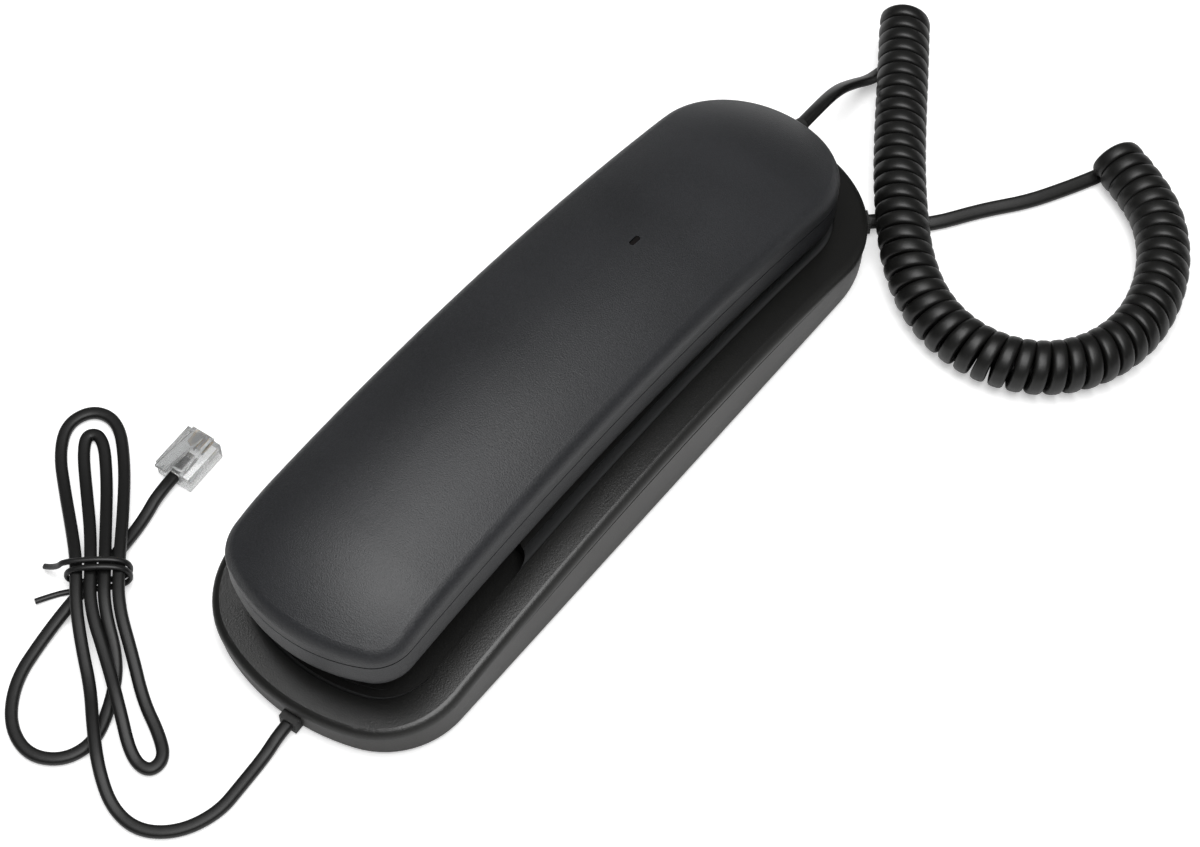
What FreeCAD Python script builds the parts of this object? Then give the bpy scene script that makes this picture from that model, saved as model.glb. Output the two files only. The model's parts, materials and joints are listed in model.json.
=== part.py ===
import FreeCAD
import Part
import math
import os

# Corded landline phone: a long arched base, a handset lying face down in its cradle with the keypad
# inside, a coil cord between the two and a line cord tied in a hank.  Millimetres, +Z up, origin
# under the middle of the base, +Y towards the end where the coil cord leaves.

Vec = FreeCAD.Vector
UP = Vec(0, 0, 1)

# Base plan and heights
BASE_NEAR = -100.0
BASE_FAR = 100.0
BASE_HALF_WIDTH = 33.0
BASE_NEAR_RADIUS = 55.0
BASE_NEAR_CORNER = 21.5
BASE_FAR_EASE = 1.0
BASE_FAR_FLAT = 2.0
BASE_FAR_RADIUS = BASE_HALF_WIDTH + BASE_FAR_EASE
BASE_FAR_CORNER = BASE_HALF_WIDTH - BASE_FAR_FLAT
BASE_ARCH_RADIUS = 510.0
BASE_SEAM_HEIGHT = 15.7
RIM_HEIGHT = 3.0
RIM_ROUND = 2.0
FOOT_HEIGHT = 0.8
BASE_WALL = 2.0
BASE_FLOOR = 2.0
SIDE_DRAFT = 0.65
BOTTOM_CHAMFER = 0.6

# Cradle in the base
RIM_WIDTH = 8.4
SHOULDER = 4.6
CRADLE_SKIN = 2.0
CRADLE_WALL = 3.5
EAR_POCKET_NEAR = -90.5
EAR_POCKET_FAR = -36.0
EAR_POCKET_FLOOR = 7.3
EAR_POCKET_END_RADIUS = 80.0
EAR_POCKET_END_CORNER = 10.0
MOUTH_POCKET_FLOOR = 7.7
MOUTH_POCKET_RADIUS = 19.0

# Handset plan and heights
HANDSET_NEAR = -95.2
HANDSET_FAR = 93.0
HANDSET_NEAR_MARGIN = 8.1
HANDSET_FAR_MARGIN = 9.4
HANDSET_HALF_NEAR = BASE_HALF_WIDTH - HANDSET_NEAR_MARGIN
HANDSET_HALF_FAR = BASE_HALF_WIDTH - HANDSET_FAR_MARGIN
HANDSET_NEAR_RADIUS = 42.5
HANDSET_NEAR_CORNER = 10.0
HANDSET_FAR_EASE = 3.4
HANDSET_FAR_FLAT = 1.1
HANDSET_FAR_RADIUS = HANDSET_HALF_FAR + HANDSET_FAR_EASE
HANDSET_FAR_CORNER = HANDSET_HALF_FAR - HANDSET_FAR_FLAT
HANDSET_ARCH_RADIUS = 470.0
HANDSET_CREST_Y = -28.0
HANDSET_SEAM_HEIGHT = 35.0
HANDSET_SKIN = 2.0
CROWN_HEIGHT = 10.0
CROWN_RADIUS = 60.0
CROWN_END_RADIUS = 60.0
CROWN_END_REACH = 25.0
CROWN_ROUND = 4.0
FACE_DEPTH = 12.0
FACE_ROUND = 6.0
SHELL_STEP = 0.1

# Shadow groove along the seams of both housings
GROOVE_HEIGHT = 0.6
GROOVE_DEPTH = 0.6

# Ear and mouth cups on the handset
EAR_Y = -66.0
EAR_CLEARANCE = 4.1
EAR_ROOT_RADIUS = BASE_HALF_WIDTH - RIM_WIDTH - EAR_CLEARANCE
EAR_RADIUS = EAR_ROOT_RADIUS - 4.0
MOUTH_Y = 68.0
MOUTH_CLEARANCE = 3.0
MOUTH_ROOT_RADIUS = BASE_HALF_WIDTH - RIM_WIDTH - SHOULDER - MOUTH_CLEARANCE
MOUTH_RADIUS = MOUTH_ROOT_RADIUS - 4.0
CUP_ROUND = 2.5
SEAT_GAP = 0.3

# Keypad, on a plane that leans with the handset
KEYPAD_Y = 12.0
KEYPAD_LEAN = 4.9
KEYPAD_FACE = 1.0
KEYPAD_HALF_WIDTH = 18.0
KEYPAD_HALF_LENGTH = 31.0
KEYPAD_CORNER = 4.0
KEY_WIDTH = 8.6
KEY_LENGTH = 6.4
KEY_CORNER = 1.6
KEY_PITCH_X = 11.6
KEY_PITCH_Y = 9.6
KEY_PROUD = 1.6
KEY_TRAVEL = 1.2
KEY_CLEARANCE = 0.25
KEY_FLANGE = 0.8
KEY_FLANGE_RIM = 0.7
KEY_STEM_RADIUS = 1.6
KEY_STEM = 1.2
FUNCTION_ROW_GAP = 12.2
MAT_THICKNESS = 1.2
BOARD_THICKNESS = 1.6

# Small parts
SCREW_SHANK = 1.2
SCREW_HEAD = 2.6
SCREW_HEAD_HEIGHT = 1.1
SCREW_CLEARANCE = 0.15
BOSS_RADIUS = 3.0
FOOT_RADIUS = 5.0
FOOT_SINK = 0.4
KEYHOLE_ENTRY = 3.9
KEYHOLE_SLOT = 2.1
KEYHOLE_RUN = 7.0
KEYHOLE_SPACING = 70.0
KEYHOLE_NEAR_Y = -31.0

# Cords
COIL_WIRE = 2.6
COIL_OUTSIDE = 13.0
COIL_PITCH = 3.94
LINE_CORD = 2.5
TIE_WIRE = 1.1
TIE_PITCH = 2.0
TIE_TURNS = 2
TIE_SLACK = 0.65
LEAST_SELF_GAP = 0.4

# Sizes that follow from the ones above
RIM_TOP = BASE_SEAM_HEIGHT + RIM_HEIGHT
FLOOR_TOP = FOOT_HEIGHT + BASE_FLOOR
CHANNEL_INSET = RIM_WIDTH + SHOULDER
CRADLE_INSET = CHANNEL_INSET - CRADLE_WALL
MAT_LOW = HANDSET_SKIN + 0.2 + KEY_FLANGE + KEY_TRAVEL + 0.3
BOARD_LOW = MAT_LOW + MAT_THICKNESS

# Screws, feet and board in the base
BASE_SCREW_X = 0.5 * (BASE_HALF_WIDTH - BASE_WALL + BASE_HALF_WIDTH - CRADLE_INSET)
BASE_SCREW_Y = 30.0
FOOT_X = 21.0
FOOT_Y = 70.0
BASE_BOARD_INSET = 11.5
BASE_BOARD_LOW = Vec(5.5, -36.0, 3.4)
BASE_BOARD_HIGH = Vec(BASE_HALF_WIDTH - BASE_BOARD_INSET, 28.0, 3.4 + BOARD_THICKNESS)
BOARD_POST_RADIUS = 1.8

# Hook switch and its plunger
PLUNGER_X = 12.0
PLUNGER_Y = -27.0
PLUNGER_RADIUS = 3.4
PLUNGER_CLEARANCE = 0.3
PLUNGER_TRAVEL = 2.0
PLUNGER_FLANGE_RADIUS = 5.0
PLUNGER_FLANGE = 1.0
SWITCH_GAP = 0.4
SPRING_WIRE = 0.4
SPRING_RADIUS = 2.9
SPRING_TURNS = 3

# Ringer volume slider
VOLUME_Y = 10.0
VOLUME_Z = 8.0
VOLUME_TRAVEL = 3.0

# Ways out of the cords
NOTCH_HALF_WIDTH = 2.3
NOTCH_TOP = 4.9
LINE_EXIT_X = 3.6
COIL_EXIT_ANGLE = 47.0
GROMMET_INSIDE = 2.2
GROMMET_OUTSIDE = 1.5
GROMMET_FLANGE = 1.2
HANDSET_EXIT_RADIUS = 2.6

# Sound parts and the call indicator
MIC_RADIUS = 4.9
RECEIVER_CLEARANCE = 3.5
RECEIVER_RADIUS = EAR_RADIUS - RECEIVER_CLEARANCE
RECEIVER_RIM = 4.0
GASKET_WIDTH = 2.0
SLOT_Y = 27.4
SLOT_HALF_LENGTH = 1.65
SLOT_HALF_WIDTH = 0.7

# Axis of the coil, from the handset's end to the base's end
COIL_HAND = -1
COIL_AXIS = [Vec(-2.9, 146.2, 10.3), Vec(6.0, 132.4, 10.3), Vec(15.6, 117.2, 10.3), Vec(24.6, 103.6, 10.3),
             Vec(33.0, 92.4, 10.1), Vec(41.2, 83.2, 8.9), Vec(51.2, 76.2, 7.3), Vec(62.4, 72.8, 6.75),
             Vec(74.4, 73.6, 6.75), Vec(85.2, 79.2, 6.75), Vec(92.6, 89.2, 6.75), Vec(95.6, 102.4, 6.75),
             Vec(93.0, 116.6, 6.75), Vec(86.4, 129.0, 6.75), Vec(76.2, 138.4, 6.75), Vec(63.6, 143.4, 6.75)]
HANDSET_LEAD_JOIN = Vec(-1.2, 140.0, 1.55)
HANDSET_LEAD_WAY = Vec(-0.13, -0.99, 0.0).normalize()
BASE_LEAD_JOIN = Vec(56.8, 132.2, 1.55)
BASE_LEAD_LAST = Vec(51.4, 122.4, 1.55)
BASE_LEAD_WAY = (BASE_LEAD_JOIN - BASE_LEAD_LAST).normalize()

# Hank of the line cord, its tie and its plug
CORNER_SHARE = 0.45
TIE_CENTRE = Vec(-54.8, -99.8, 5.95)
TIE_ACROSS = Vec(0.73, 0.68, 0).normalize()
STRAND_STEP = 3.2
LINE_LEAD_LAST = Vec(-44.2, -116.0, 4.6)
HANK_LAST = Vec(-57.2, -88.0, 1.7)
TAIL_FIRST = Vec(-58.4, -81.4, 1.6)
PLUG_WIDTH = 9.65
PLUG_LENGTH = 12.0
PLUG_HEIGHT = 6.6
PLUG_ENTRY = Vec(-60.4, -69.6, 0)
PLUG_TURN = 4.0
PLUG_CORD_HEIGHT = 2.6
PLUG_CORD_REACH = 6.0
PLUG_CHANNEL_GAP = 0.45
CONTACT_PITCH = 1.02
CONTACT_WIDTH = 0.35
CONTACT_COUNT = 4
LATCH_WIDTH = 3.2
LATCH_THICKNESS = 0.9

# Reach of the cutting blocks
REACH = 140.0
DEEP = -60.0


def save(name, shape):
    shape.exportStep("parts/%s.step" % name)
    print("%-26s solids %d volume %9.1f" % (name, len(shape.Solids), shape.Volume))


def base_arch(y, rise=0.0):
    radius = BASE_ARCH_RADIUS + rise
    return BASE_SEAM_HEIGHT - BASE_ARCH_RADIUS + math.sqrt(radius * radius - y * y)


def handset_arch(y, rise=0.0):
    radius = HANDSET_ARCH_RADIUS + rise
    away = y - HANDSET_CREST_Y
    return HANDSET_SEAM_HEIGHT - HANDSET_ARCH_RADIUS + math.sqrt(radius * radius - away * away)


class Plan:
    """A long rounded plan: an arc at each end, four corner arcs and two straight sides."""

    def __init__(self, near, far, half_near, half_far, near_radius, near_corner, far_radius, far_corner):
        self.near = near
        self.far = far
        self.near_radius = near_radius
        self.near_corner = near_corner
        self.far_radius = far_radius
        self.far_corner = far_corner
        slope = (half_far - half_near) / (far - near)
        size = math.hypot(1.0, slope)
        self.along = Vec(slope / size, 1.0 / size, 0)
        self.outward = Vec(1.0 / size, -slope / size, 0)
        self.side = Vec(half_near, near, 0)

    def corner_centre(self, end_centre, end_radius, corner, sign):
        start = self.side - self.outward * corner - end_centre
        b = start.dot(self.along)
        c = start.dot(start) - (end_radius - corner) ** 2
        t = -b + sign * math.sqrt(b * b - c)
        return start + self.along * t + end_centre

    def wire(self, inset=0.0, z=0.0):
        near_centre = Vec(0, self.near + self.near_radius, 0)
        far_centre = Vec(0, self.far - self.far_radius, 0)
        near_corner = self.corner_centre(near_centre, self.near_radius, self.near_corner, -1)
        far_corner = self.corner_centre(far_centre, self.far_radius, self.far_corner, 1)
        near_turn = (near_corner - near_centre).normalize()
        far_turn = (far_corner - far_centre).normalize()
        rn = self.near_corner - inset
        rf = self.far_corner - inset
        a = near_centre + near_turn * (self.near_radius - inset)
        b = near_corner + self.outward * rn
        c = far_corner + self.outward * rf
        d = far_centre + far_turn * (self.far_radius - inset)
        near_mid = near_corner + (near_turn + self.outward).normalize() * rn
        far_mid = far_corner + (far_turn + self.outward).normalize() * rf
        tip_near = Vec(0, self.near + inset, 0)
        tip_far = Vec(0, self.far - inset, 0)

        def left(p):
            return Vec(-p.x, p.y, 0)

        edges = [Part.Arc(left(a), tip_near, a), Part.Arc(a, near_mid, b), Part.LineSegment(b, c),
                 Part.Arc(c, far_mid, d), Part.Arc(d, tip_far, left(d)),
                 Part.Arc(left(d), left(far_mid), left(c)), Part.LineSegment(left(c), left(b)),
                 Part.Arc(left(b), left(near_mid), left(a))]
        wire = Part.Wire([edge.toShape() for edge in edges])
        wire.translate(Vec(0, 0, z))
        return wire

    def prism(self, inset, low, high):
        return Part.Face(self.wire(inset, low)).extrude(Vec(0, 0, high - low))


def under_arch(crest_y, crest_z, radius):
    """Everything below an arch that runs lengthwise."""
    drop = radius - math.sqrt(radius * radius - REACH * REACH)
    a = Vec(-REACH, crest_y - REACH, crest_z - drop)
    b = Vec(-REACH, crest_y, crest_z)
    c = Vec(-REACH, crest_y + REACH, crest_z - drop)
    d = Vec(-REACH, crest_y + REACH, DEEP)
    e = Vec(-REACH, crest_y - REACH, DEEP)
    wire = Part.Wire([Part.Arc(a, b, c).toShape(), Part.makeLine(c, d), Part.makeLine(d, e),
                      Part.makeLine(e, a)])
    return Part.Face(wire).extrude(Vec(2 * REACH, 0, 0))


def under_base_arch(rise):
    return under_arch(0.0, BASE_SEAM_HEIGHT + rise, BASE_ARCH_RADIUS + rise)


def under_handset_arch(rise):
    return under_arch(HANDSET_CREST_Y, HANDSET_SEAM_HEIGHT + rise, HANDSET_ARCH_RADIUS + rise)


def cylinder(x, y, low, high, radius):
    return Part.makeCylinder(radius, high - low, Vec(x, y, low))


def box(low, high):
    return Part.makeBox(high.x - low.x, high.y - low.y, high.z - low.z, low)


def rounded_bar(half_x, half_y, corner, low, high):
    """Upright bar with rounded corners, about the Z axis."""
    bar = box(Vec(-half_x, -half_y, low), Vec(half_x, half_y, high))
    upright = [e for e in bar.Edges if abs(e.Vertexes[0].Z - e.Vertexes[1].Z) > 0.5 * (high - low)]
    return bar.makeFillet(corner, upright)


def rims_where(shape, test):
    """Edges whose middle point passes a test."""
    found = []
    for edge in shape.Edges:
        middle = edge.valueAt(0.5 * (edge.FirstParameter + edge.LastParameter))
        if test(middle):
            found.append(edge)
    return found


def group(shapes):
    return Part.makeCompound(shapes)


BASE_PLAN = Plan(BASE_NEAR, BASE_FAR, BASE_HALF_WIDTH, BASE_HALF_WIDTH, BASE_NEAR_RADIUS,
                 BASE_NEAR_CORNER, BASE_FAR_RADIUS, BASE_FAR_CORNER)
EAR_POCKET_PLAN = Plan(EAR_POCKET_NEAR, EAR_POCKET_FAR, BASE_HALF_WIDTH - RIM_WIDTH,
                       BASE_HALF_WIDTH - RIM_WIDTH, BASE_NEAR_RADIUS - RIM_WIDTH,
                       BASE_NEAR_CORNER - RIM_WIDTH, EAR_POCKET_END_RADIUS, EAR_POCKET_END_CORNER)
HANDSET_PLAN = Plan(HANDSET_NEAR, HANDSET_FAR, HANDSET_HALF_NEAR, HANDSET_HALF_FAR, HANDSET_NEAR_RADIUS,
                    HANDSET_NEAR_CORNER, HANDSET_FAR_RADIUS, HANDSET_FAR_CORNER)

def notch_frame(exit_name):
    """Point on the base wall and outward direction of a cord's way out."""
    if exit_name == "line":
        centre = Vec(0, BASE_NEAR + BASE_NEAR_RADIUS, 0)
        angle = -math.acos(LINE_EXIT_X / BASE_NEAR_RADIUS)
        radius = BASE_NEAR_RADIUS
    else:
        centre = Vec(0, BASE_FAR - BASE_FAR_RADIUS, 0)
        angle = math.radians(COIL_EXIT_ANGLE)
        radius = BASE_FAR_RADIUS
    outward = Vec(math.cos(angle), math.sin(angle), 0)
    return centre + outward * radius, outward


def notch_block(exit_name, half_width, top, inside, outside):
    """Upright block across the base wall at a cord's way out."""
    point, outward = notch_frame(exit_name)
    block = box(Vec(-inside, -half_width, FOOT_HEIGHT), Vec(outside, half_width, top))
    block.rotate(Vec(0, 0, 0), UP, math.degrees(math.atan2(outward.y, outward.x)))
    block.translate(point)
    return block


def keyhole(y):
    """Keyhole through the floor: entry hole and the slot that a screw shank slides into."""
    entry = cylinder(0, y + KEYHOLE_RUN, DEEP, FLOOR_TOP + 1, KEYHOLE_ENTRY)
    shank = cylinder(0, y, DEEP, FLOOR_TOP + 1, KEYHOLE_SLOT)
    slot = box(Vec(-KEYHOLE_SLOT, y, DEEP), Vec(KEYHOLE_SLOT, y + KEYHOLE_RUN, FLOOR_TOP + 1))
    return entry.fuse([shank, slot])


def base_screw_places():
    return [(sx * BASE_SCREW_X, sy * BASE_SCREW_Y) for sx in (-1, 1) for sy in (-1, 1)]


def foot_places():
    return [(sx * FOOT_X, sy * FOOT_Y) for sx in (-1, 1) for sy in (-1, 1)]


def board_posts():
    low, high = BASE_BOARD_LOW, BASE_BOARD_HIGH
    x = 0.5 * (low.x + high.x)
    return [(x, low.y + 2 * BOARD_POST_RADIUS), (x, high.y - 2 * BOARD_POST_RADIUS)]


def base_groove():
    """Ring of space along the base's seam, cut from the upper shell's lower edge."""
    ring = BASE_PLAN.prism(-1.0, DEEP + 1, RIM_TOP + 5).cut(BASE_PLAN.prism(GROOVE_DEPTH, DEEP, RIM_TOP + 6))
    return ring.common(under_base_arch(GROOVE_HEIGHT)).cut(under_base_arch(-1.0))


def handset_groove():
    """Ring of space along the handset's seam, cut from the inner shell's upper edge."""
    high = HANDSET_SEAM_HEIGHT + 5
    ring = HANDSET_PLAN.prism(-1.0, DEEP + 1, high)
    ring = ring.cut(HANDSET_PLAN.prism(SHELL_STEP + GROOVE_DEPTH, DEEP, high + 1))
    return ring.common(under_handset_arch(1.0)).cut(under_handset_arch(-GROOVE_HEIGHT))


def base_lower_shell():
    """Tray with a drafted wall whose top edge follows the arch."""
    top = BASE_SEAM_HEIGHT + 1
    outside = Part.makeLoft([BASE_PLAN.wire(SIDE_DRAFT + BOTTOM_CHAMFER, FOOT_HEIGHT),
                             BASE_PLAN.wire(SIDE_DRAFT, FOOT_HEIGHT + BOTTOM_CHAMFER),
                             BASE_PLAN.wire(0, top)], True, True)
    inside = Part.makeLoft([BASE_PLAN.wire(SIDE_DRAFT + BASE_WALL, FLOOR_TOP),
                            BASE_PLAN.wire(BASE_WALL, top)], True, True)
    tray = outside.cut(inside).common(under_base_arch(0.0))
    posts = [cylinder(x, y, FLOOR_TOP - 0.5, BASE_BOARD_LOW.z, BOARD_POST_RADIUS) for x, y in board_posts()]
    tray = tray.fuse(posts)
    cuts = [keyhole(KEYHOLE_NEAR_Y), keyhole(KEYHOLE_NEAR_Y + KEYHOLE_SPACING)]
    for x, y in base_screw_places():
        cuts.append(cylinder(x, y, DEEP, FLOOR_TOP + 1, SCREW_SHANK + SCREW_CLEARANCE))
        cuts.append(cylinder(x, y, DEEP, FOOT_HEIGHT + SCREW_HEAD_HEIGHT + 0.1, SCREW_HEAD + SCREW_CLEARANCE))
    for x, y in foot_places():
        cuts.append(cylinder(x, y, DEEP, FOOT_HEIGHT + FOOT_SINK, FOOT_RADIUS + 0.1))
    for name in ("line", "coil"):
        cuts.append(notch_block(name, NOTCH_HALF_WIDTH, NOTCH_TOP, 6.0, 4.0))
    half = VOLUME_TRAVEL + 1.6
    cuts.append(box(Vec(-BASE_HALF_WIDTH - 2, VOLUME_Y - half, VOLUME_Z - 1.4),
                    Vec(-BASE_HALF_WIDTH + BASE_WALL + 2, VOLUME_Y + half, VOLUME_Z + 1.4)))
    return tray.cut(cuts)


def arched_face(plan, inset, rise):
    """The part of an arch over the base that lies inside a plan."""
    block = plan.prism(inset, DEEP + 1, RIM_TOP + 20).common(under_base_arch(rise))
    return max(block.Faces, key=lambda face: face.CenterOfMass.z)


def cradle_trough():
    """Space in the cradle: a floor that follows the arch, and shoulders that slope up to the rim."""
    spare = 0.5
    low = arched_face(BASE_PLAN, CHANNEL_INSET, RIM_HEIGHT - SHOULDER)
    high = arched_face(BASE_PLAN, RIM_WIDTH - spare, RIM_HEIGHT + spare)
    faces = [low, high]
    for edge in low.OuterWire.Edges:
        twin = min(high.OuterWire.Edges, key=lambda e: (e.CenterOfMass - edge.CenterOfMass).Length)
        faces.append(Part.makeRuledSurface(edge, twin))
    shell = Part.makeShell(faces)
    shell.sewShape()
    return Part.makeSolid(shell)


def base_upper_shell():
    """Arched rim with the cradle let into it: sloped shoulders, ear pocket and mouth pocket."""
    slab = BASE_PLAN.prism(0.0, DEEP + 1, RIM_TOP + 5).common(under_base_arch(RIM_HEIGHT))
    slab = slab.cut(under_base_arch(0.0))
    outer = rims_where(slab, lambda p: abs(p.z - base_arch(p.y, RIM_HEIGHT)) < 0.05)
    slab = slab.makeFillet(RIM_ROUND, outer)
    trough = BASE_PLAN.prism(CRADLE_INSET, DEEP + 1, RIM_TOP + 5).common(under_base_arch(RIM_HEIGHT - 0.5))
    trough = trough.cut(under_base_arch(RIM_HEIGHT - SHOULDER - CRADLE_SKIN))
    ear_tub = EAR_POCKET_PLAN.prism(-CRADLE_SKIN, EAR_POCKET_FLOOR - CRADLE_SKIN, RIM_TOP + 5)
    ear_tub = ear_tub.common(under_base_arch(RIM_HEIGHT - 0.5))
    mouth_tub = cylinder(0, MOUTH_Y, MOUTH_POCKET_FLOOR - CRADLE_SKIN, RIM_TOP,
                         MOUTH_POCKET_RADIUS + CRADLE_SKIN)
    mouth_tub = mouth_tub.common(under_base_arch(RIM_HEIGHT - SHOULDER))
    bosses = []
    for x, y in base_screw_places():
        bosses.append(cylinder(x, y, FLOOR_TOP + 0.1, base_arch(y) + 0.5, BOSS_RADIUS))
    shell = slab.fuse([trough, ear_tub, mouth_tub] + bosses)
    shell = shell.cut(cradle_trough())
    ear_pocket = EAR_POCKET_PLAN.prism(0.0, EAR_POCKET_FLOOR, RIM_TOP + 5)
    mouth_pocket = cylinder(0, MOUTH_Y, MOUTH_POCKET_FLOOR, RIM_TOP, MOUTH_POCKET_RADIUS)
    cuts = [ear_pocket, mouth_pocket, base_groove()]
    cuts.append(cylinder(PLUNGER_X, PLUNGER_Y, 0, RIM_TOP + 5, PLUNGER_RADIUS + PLUNGER_CLEARANCE))
    for x, y in base_screw_places():
        cuts.append(cylinder(x, y, 0, base_arch(y) - 2.0, SCREW_SHANK + 0.05))
    return shell.cut(cuts)


def base_feet():
    return group([cylinder(x, y, 0, FOOT_HEIGHT + FOOT_SINK, FOOT_RADIUS) for x, y in foot_places()])


def screw(x, y, head_low, tip):
    """Flat-headed screw standing on its head, with a cross recess in the head."""
    head = cylinder(x, y, head_low, head_low + SCREW_HEAD_HEIGHT, SCREW_HEAD)
    shank = cylinder(x, y, head_low + SCREW_HEAD_HEIGHT, tip, SCREW_SHANK)
    half, width, depth = 1.5, 0.35, 0.6
    cross = [box(Vec(x - half, y - width, head_low - 1), Vec(x + half, y + width, head_low + depth)),
             box(Vec(x - width, y - half, head_low - 1), Vec(x + width, y + half, head_low + depth))]
    return head.fuse(shank).cut(cross).removeSplitter()


def base_screws():
    return group([screw(x, y, FOOT_HEIGHT, base_arch(y) - 4.0) for x, y in base_screw_places()])


def base_circuit_board():
    return box(BASE_BOARD_LOW, BASE_BOARD_HIGH)


def ringer():
    """Round sounder standing on the board, with its sound hole."""
    x = 0.5 * (BASE_BOARD_LOW.x + BASE_BOARD_HIGH.x)
    low = BASE_BOARD_HIGH.z
    can = cylinder(x, 12.0, low, low + 4.0, 6.5)
    return can.cut(cylinder(x, 12.0, low + 2.5, low + 5.0, 1.2))


def plunger_seat():
    """Underside of the plunger's flange with the handset down, so that it rises to the cradle's underside."""
    under = base_arch(PLUNGER_Y, RIM_HEIGHT - SHOULDER - CRADLE_SKIN)
    return under - PLUNGER_TRAVEL - PLUNGER_FLANGE - 0.5


def hook_switch():
    """Switch housing on the board, bored for the plunger's stem and counterbored for its spring."""
    low = BASE_BOARD_HIGH.z
    high = plunger_seat() - SWITCH_GAP
    body = box(Vec(PLUNGER_X - 6, PLUNGER_Y - 6, low), Vec(PLUNGER_X + 6, PLUNGER_Y + 6, high))
    return body.cut(cylinder(PLUNGER_X, PLUNGER_Y, low + 0.4, high + 1, PLUNGER_FLANGE_RADIUS - 0.6))


def hook_plunger():
    """Hook-switch plunger: domed head up through the cradle, flange under it, stem in the switch."""
    top = handset_arch(PLUNGER_Y, -FACE_DEPTH) - SEAT_GAP
    seat = plunger_seat()
    head = cylinder(PLUNGER_X, PLUNGER_Y, seat, top, PLUNGER_RADIUS)
    crown = rims_where(head, lambda p: p.z > top - 0.01)
    head = head.makeFillet(1.4, crown)
    flange = cylinder(PLUNGER_X, PLUNGER_Y, seat, seat + PLUNGER_FLANGE, PLUNGER_FLANGE_RADIUS)
    stem = cylinder(PLUNGER_X, PLUNGER_Y, BASE_BOARD_HIGH.z + 0.7, seat, 1.6)
    return head.fuse([flange, stem]).removeSplitter()


def volume_switch():
    """Slide switch for the ringer's loudness, behind its window in the wall."""
    wall = -BASE_HALF_WIDTH + BASE_WALL + SIDE_DRAFT + 0.3
    return box(Vec(wall, VOLUME_Y - 7, FLOOR_TOP), Vec(wall + 4.5, VOLUME_Y + 7, VOLUME_Z + 3.0))


def volume_knob():
    """Ribbed finger piece that stands in the window, just short of the outer wall."""
    back = -BASE_HALF_WIDTH + BASE_WALL + SIDE_DRAFT + 0.2
    front = -BASE_HALF_WIDTH + 0.4
    knob = box(Vec(front, VOLUME_Y - 1.4, VOLUME_Z - 1.1), Vec(back, VOLUME_Y + 1.4, VOLUME_Z + 1.1))
    grooves = []
    for k in (-1, 0, 1):
        y = VOLUME_Y + 0.8 * k
        grooves.append(box(Vec(front - 1, y - 0.15, VOLUME_Z - 2), Vec(front + 0.4, y + 0.15, VOLUME_Z + 2)))
    return knob.cut(grooves)


def grommet(exit_name):
    """Rubber bush in a wall notch, flanged inside, that grips the cord."""
    gap = 0.1
    bush = notch_block(exit_name, NOTCH_HALF_WIDTH - gap, NOTCH_TOP - gap, GROMMET_INSIDE + 1.0,
                       GROMMET_OUTSIDE)
    flange = notch_block(exit_name, NOTCH_HALF_WIDTH + 1.0, NOTCH_TOP - gap,
                         GROMMET_INSIDE + 1.0 + GROMMET_FLANGE,
                         -GROMMET_INSIDE - 1.0)
    both = bush.fuse(flange).removeSplitter()
    return both.cut(box(Vec(-REACH, -REACH, DEEP), Vec(REACH, REACH, FLOOR_TOP + 0.1))
                    .common(notch_block(exit_name, 5.0, FLOOR_TOP + 0.1, 9.0, -BASE_WALL - SIDE_DRAFT)))


def grommet_mouth(exit_name):
    """Middle of a base grommet's outer face."""
    point, outward = notch_frame(exit_name)
    return point + outward * GROMMET_OUTSIDE + Vec(0, 0, 0.5 * (FOOT_HEIGHT + NOTCH_TOP - 0.1)), outward


def crown_solid(offset):
    """Space under the handset's domed top, moved in by offset: a crowned section swept along the arch,
    with a tighter turn down at each end."""
    ridge = HANDSET_ARCH_RADIUS + CROWN_HEIGHT - offset
    centre = Vec(0, HANDSET_CREST_Y, HANDSET_SEAM_HEIGHT - HANDSET_ARCH_RADIUS)
    radius = CROWN_RADIUS - offset
    half = 40.0
    deep = 34.0
    edge = radius - math.sqrt(radius * radius - half * half)
    top = centre.z + ridge
    y = HANDSET_CREST_Y
    a = Vec(-half, y, top - edge)
    b = Vec(0, y, top)
    c = Vec(half, y, top - edge)
    d = Vec(half, y, top - deep)
    e = Vec(-half, y, top - deep)
    section = Part.Face(Part.Wire([Part.Arc(a, b, c).toShape(), Part.makeLine(c, d), Part.makeLine(d, e),
                                   Part.makeLine(e, a)]))
    near_angle = math.degrees(math.asin((HANDSET_NEAR + CROWN_END_REACH - y) / ridge))
    far_angle = math.degrees(math.asin((HANDSET_FAR - CROWN_END_REACH - y) / ridge))
    axis = Vec(1, 0, 0)
    near_section = section.copy()
    near_section.rotate(centre, axis, -near_angle)
    far_section = section.copy()
    far_section.rotate(centre, axis, -far_angle)
    middle = near_section.copy().revolve(centre, axis, near_angle - far_angle)
    end_radius = CROWN_END_RADIUS - offset
    turn = 60.0
    solids = [middle]
    for angle, piece, sense in ((near_angle, near_section, 1), (far_angle, far_section, -1)):
        lean = math.radians(angle)
        axis_point = centre + Vec(0, math.sin(lean), math.cos(lean)) * (ridge - end_radius)
        solids.append(piece.copy().revolve(axis_point, axis, sense * turn))
    return solids[0].fuse(solids[1:]).removeSplitter()


def handset_exit():
    """Way out of the coil cord, on the handset's seam at its far end."""
    return Vec(0, HANDSET_FAR, handset_arch(HANDSET_FAR))


def exit_bore(radius):
    point = handset_exit()
    return Part.makeCylinder(radius, 12.0, point - Vec(0, 8.0, 0), Vec(0, 1, 0))


def indicator_slot(gap, low, high):
    bar = rounded_bar(SLOT_HALF_WIDTH - gap, SLOT_HALF_LENGTH - gap, 0.9 * (SLOT_HALF_WIDTH - gap), low, high)
    bar.translate(Vec(0, SLOT_Y, 0))
    return bar


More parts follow.
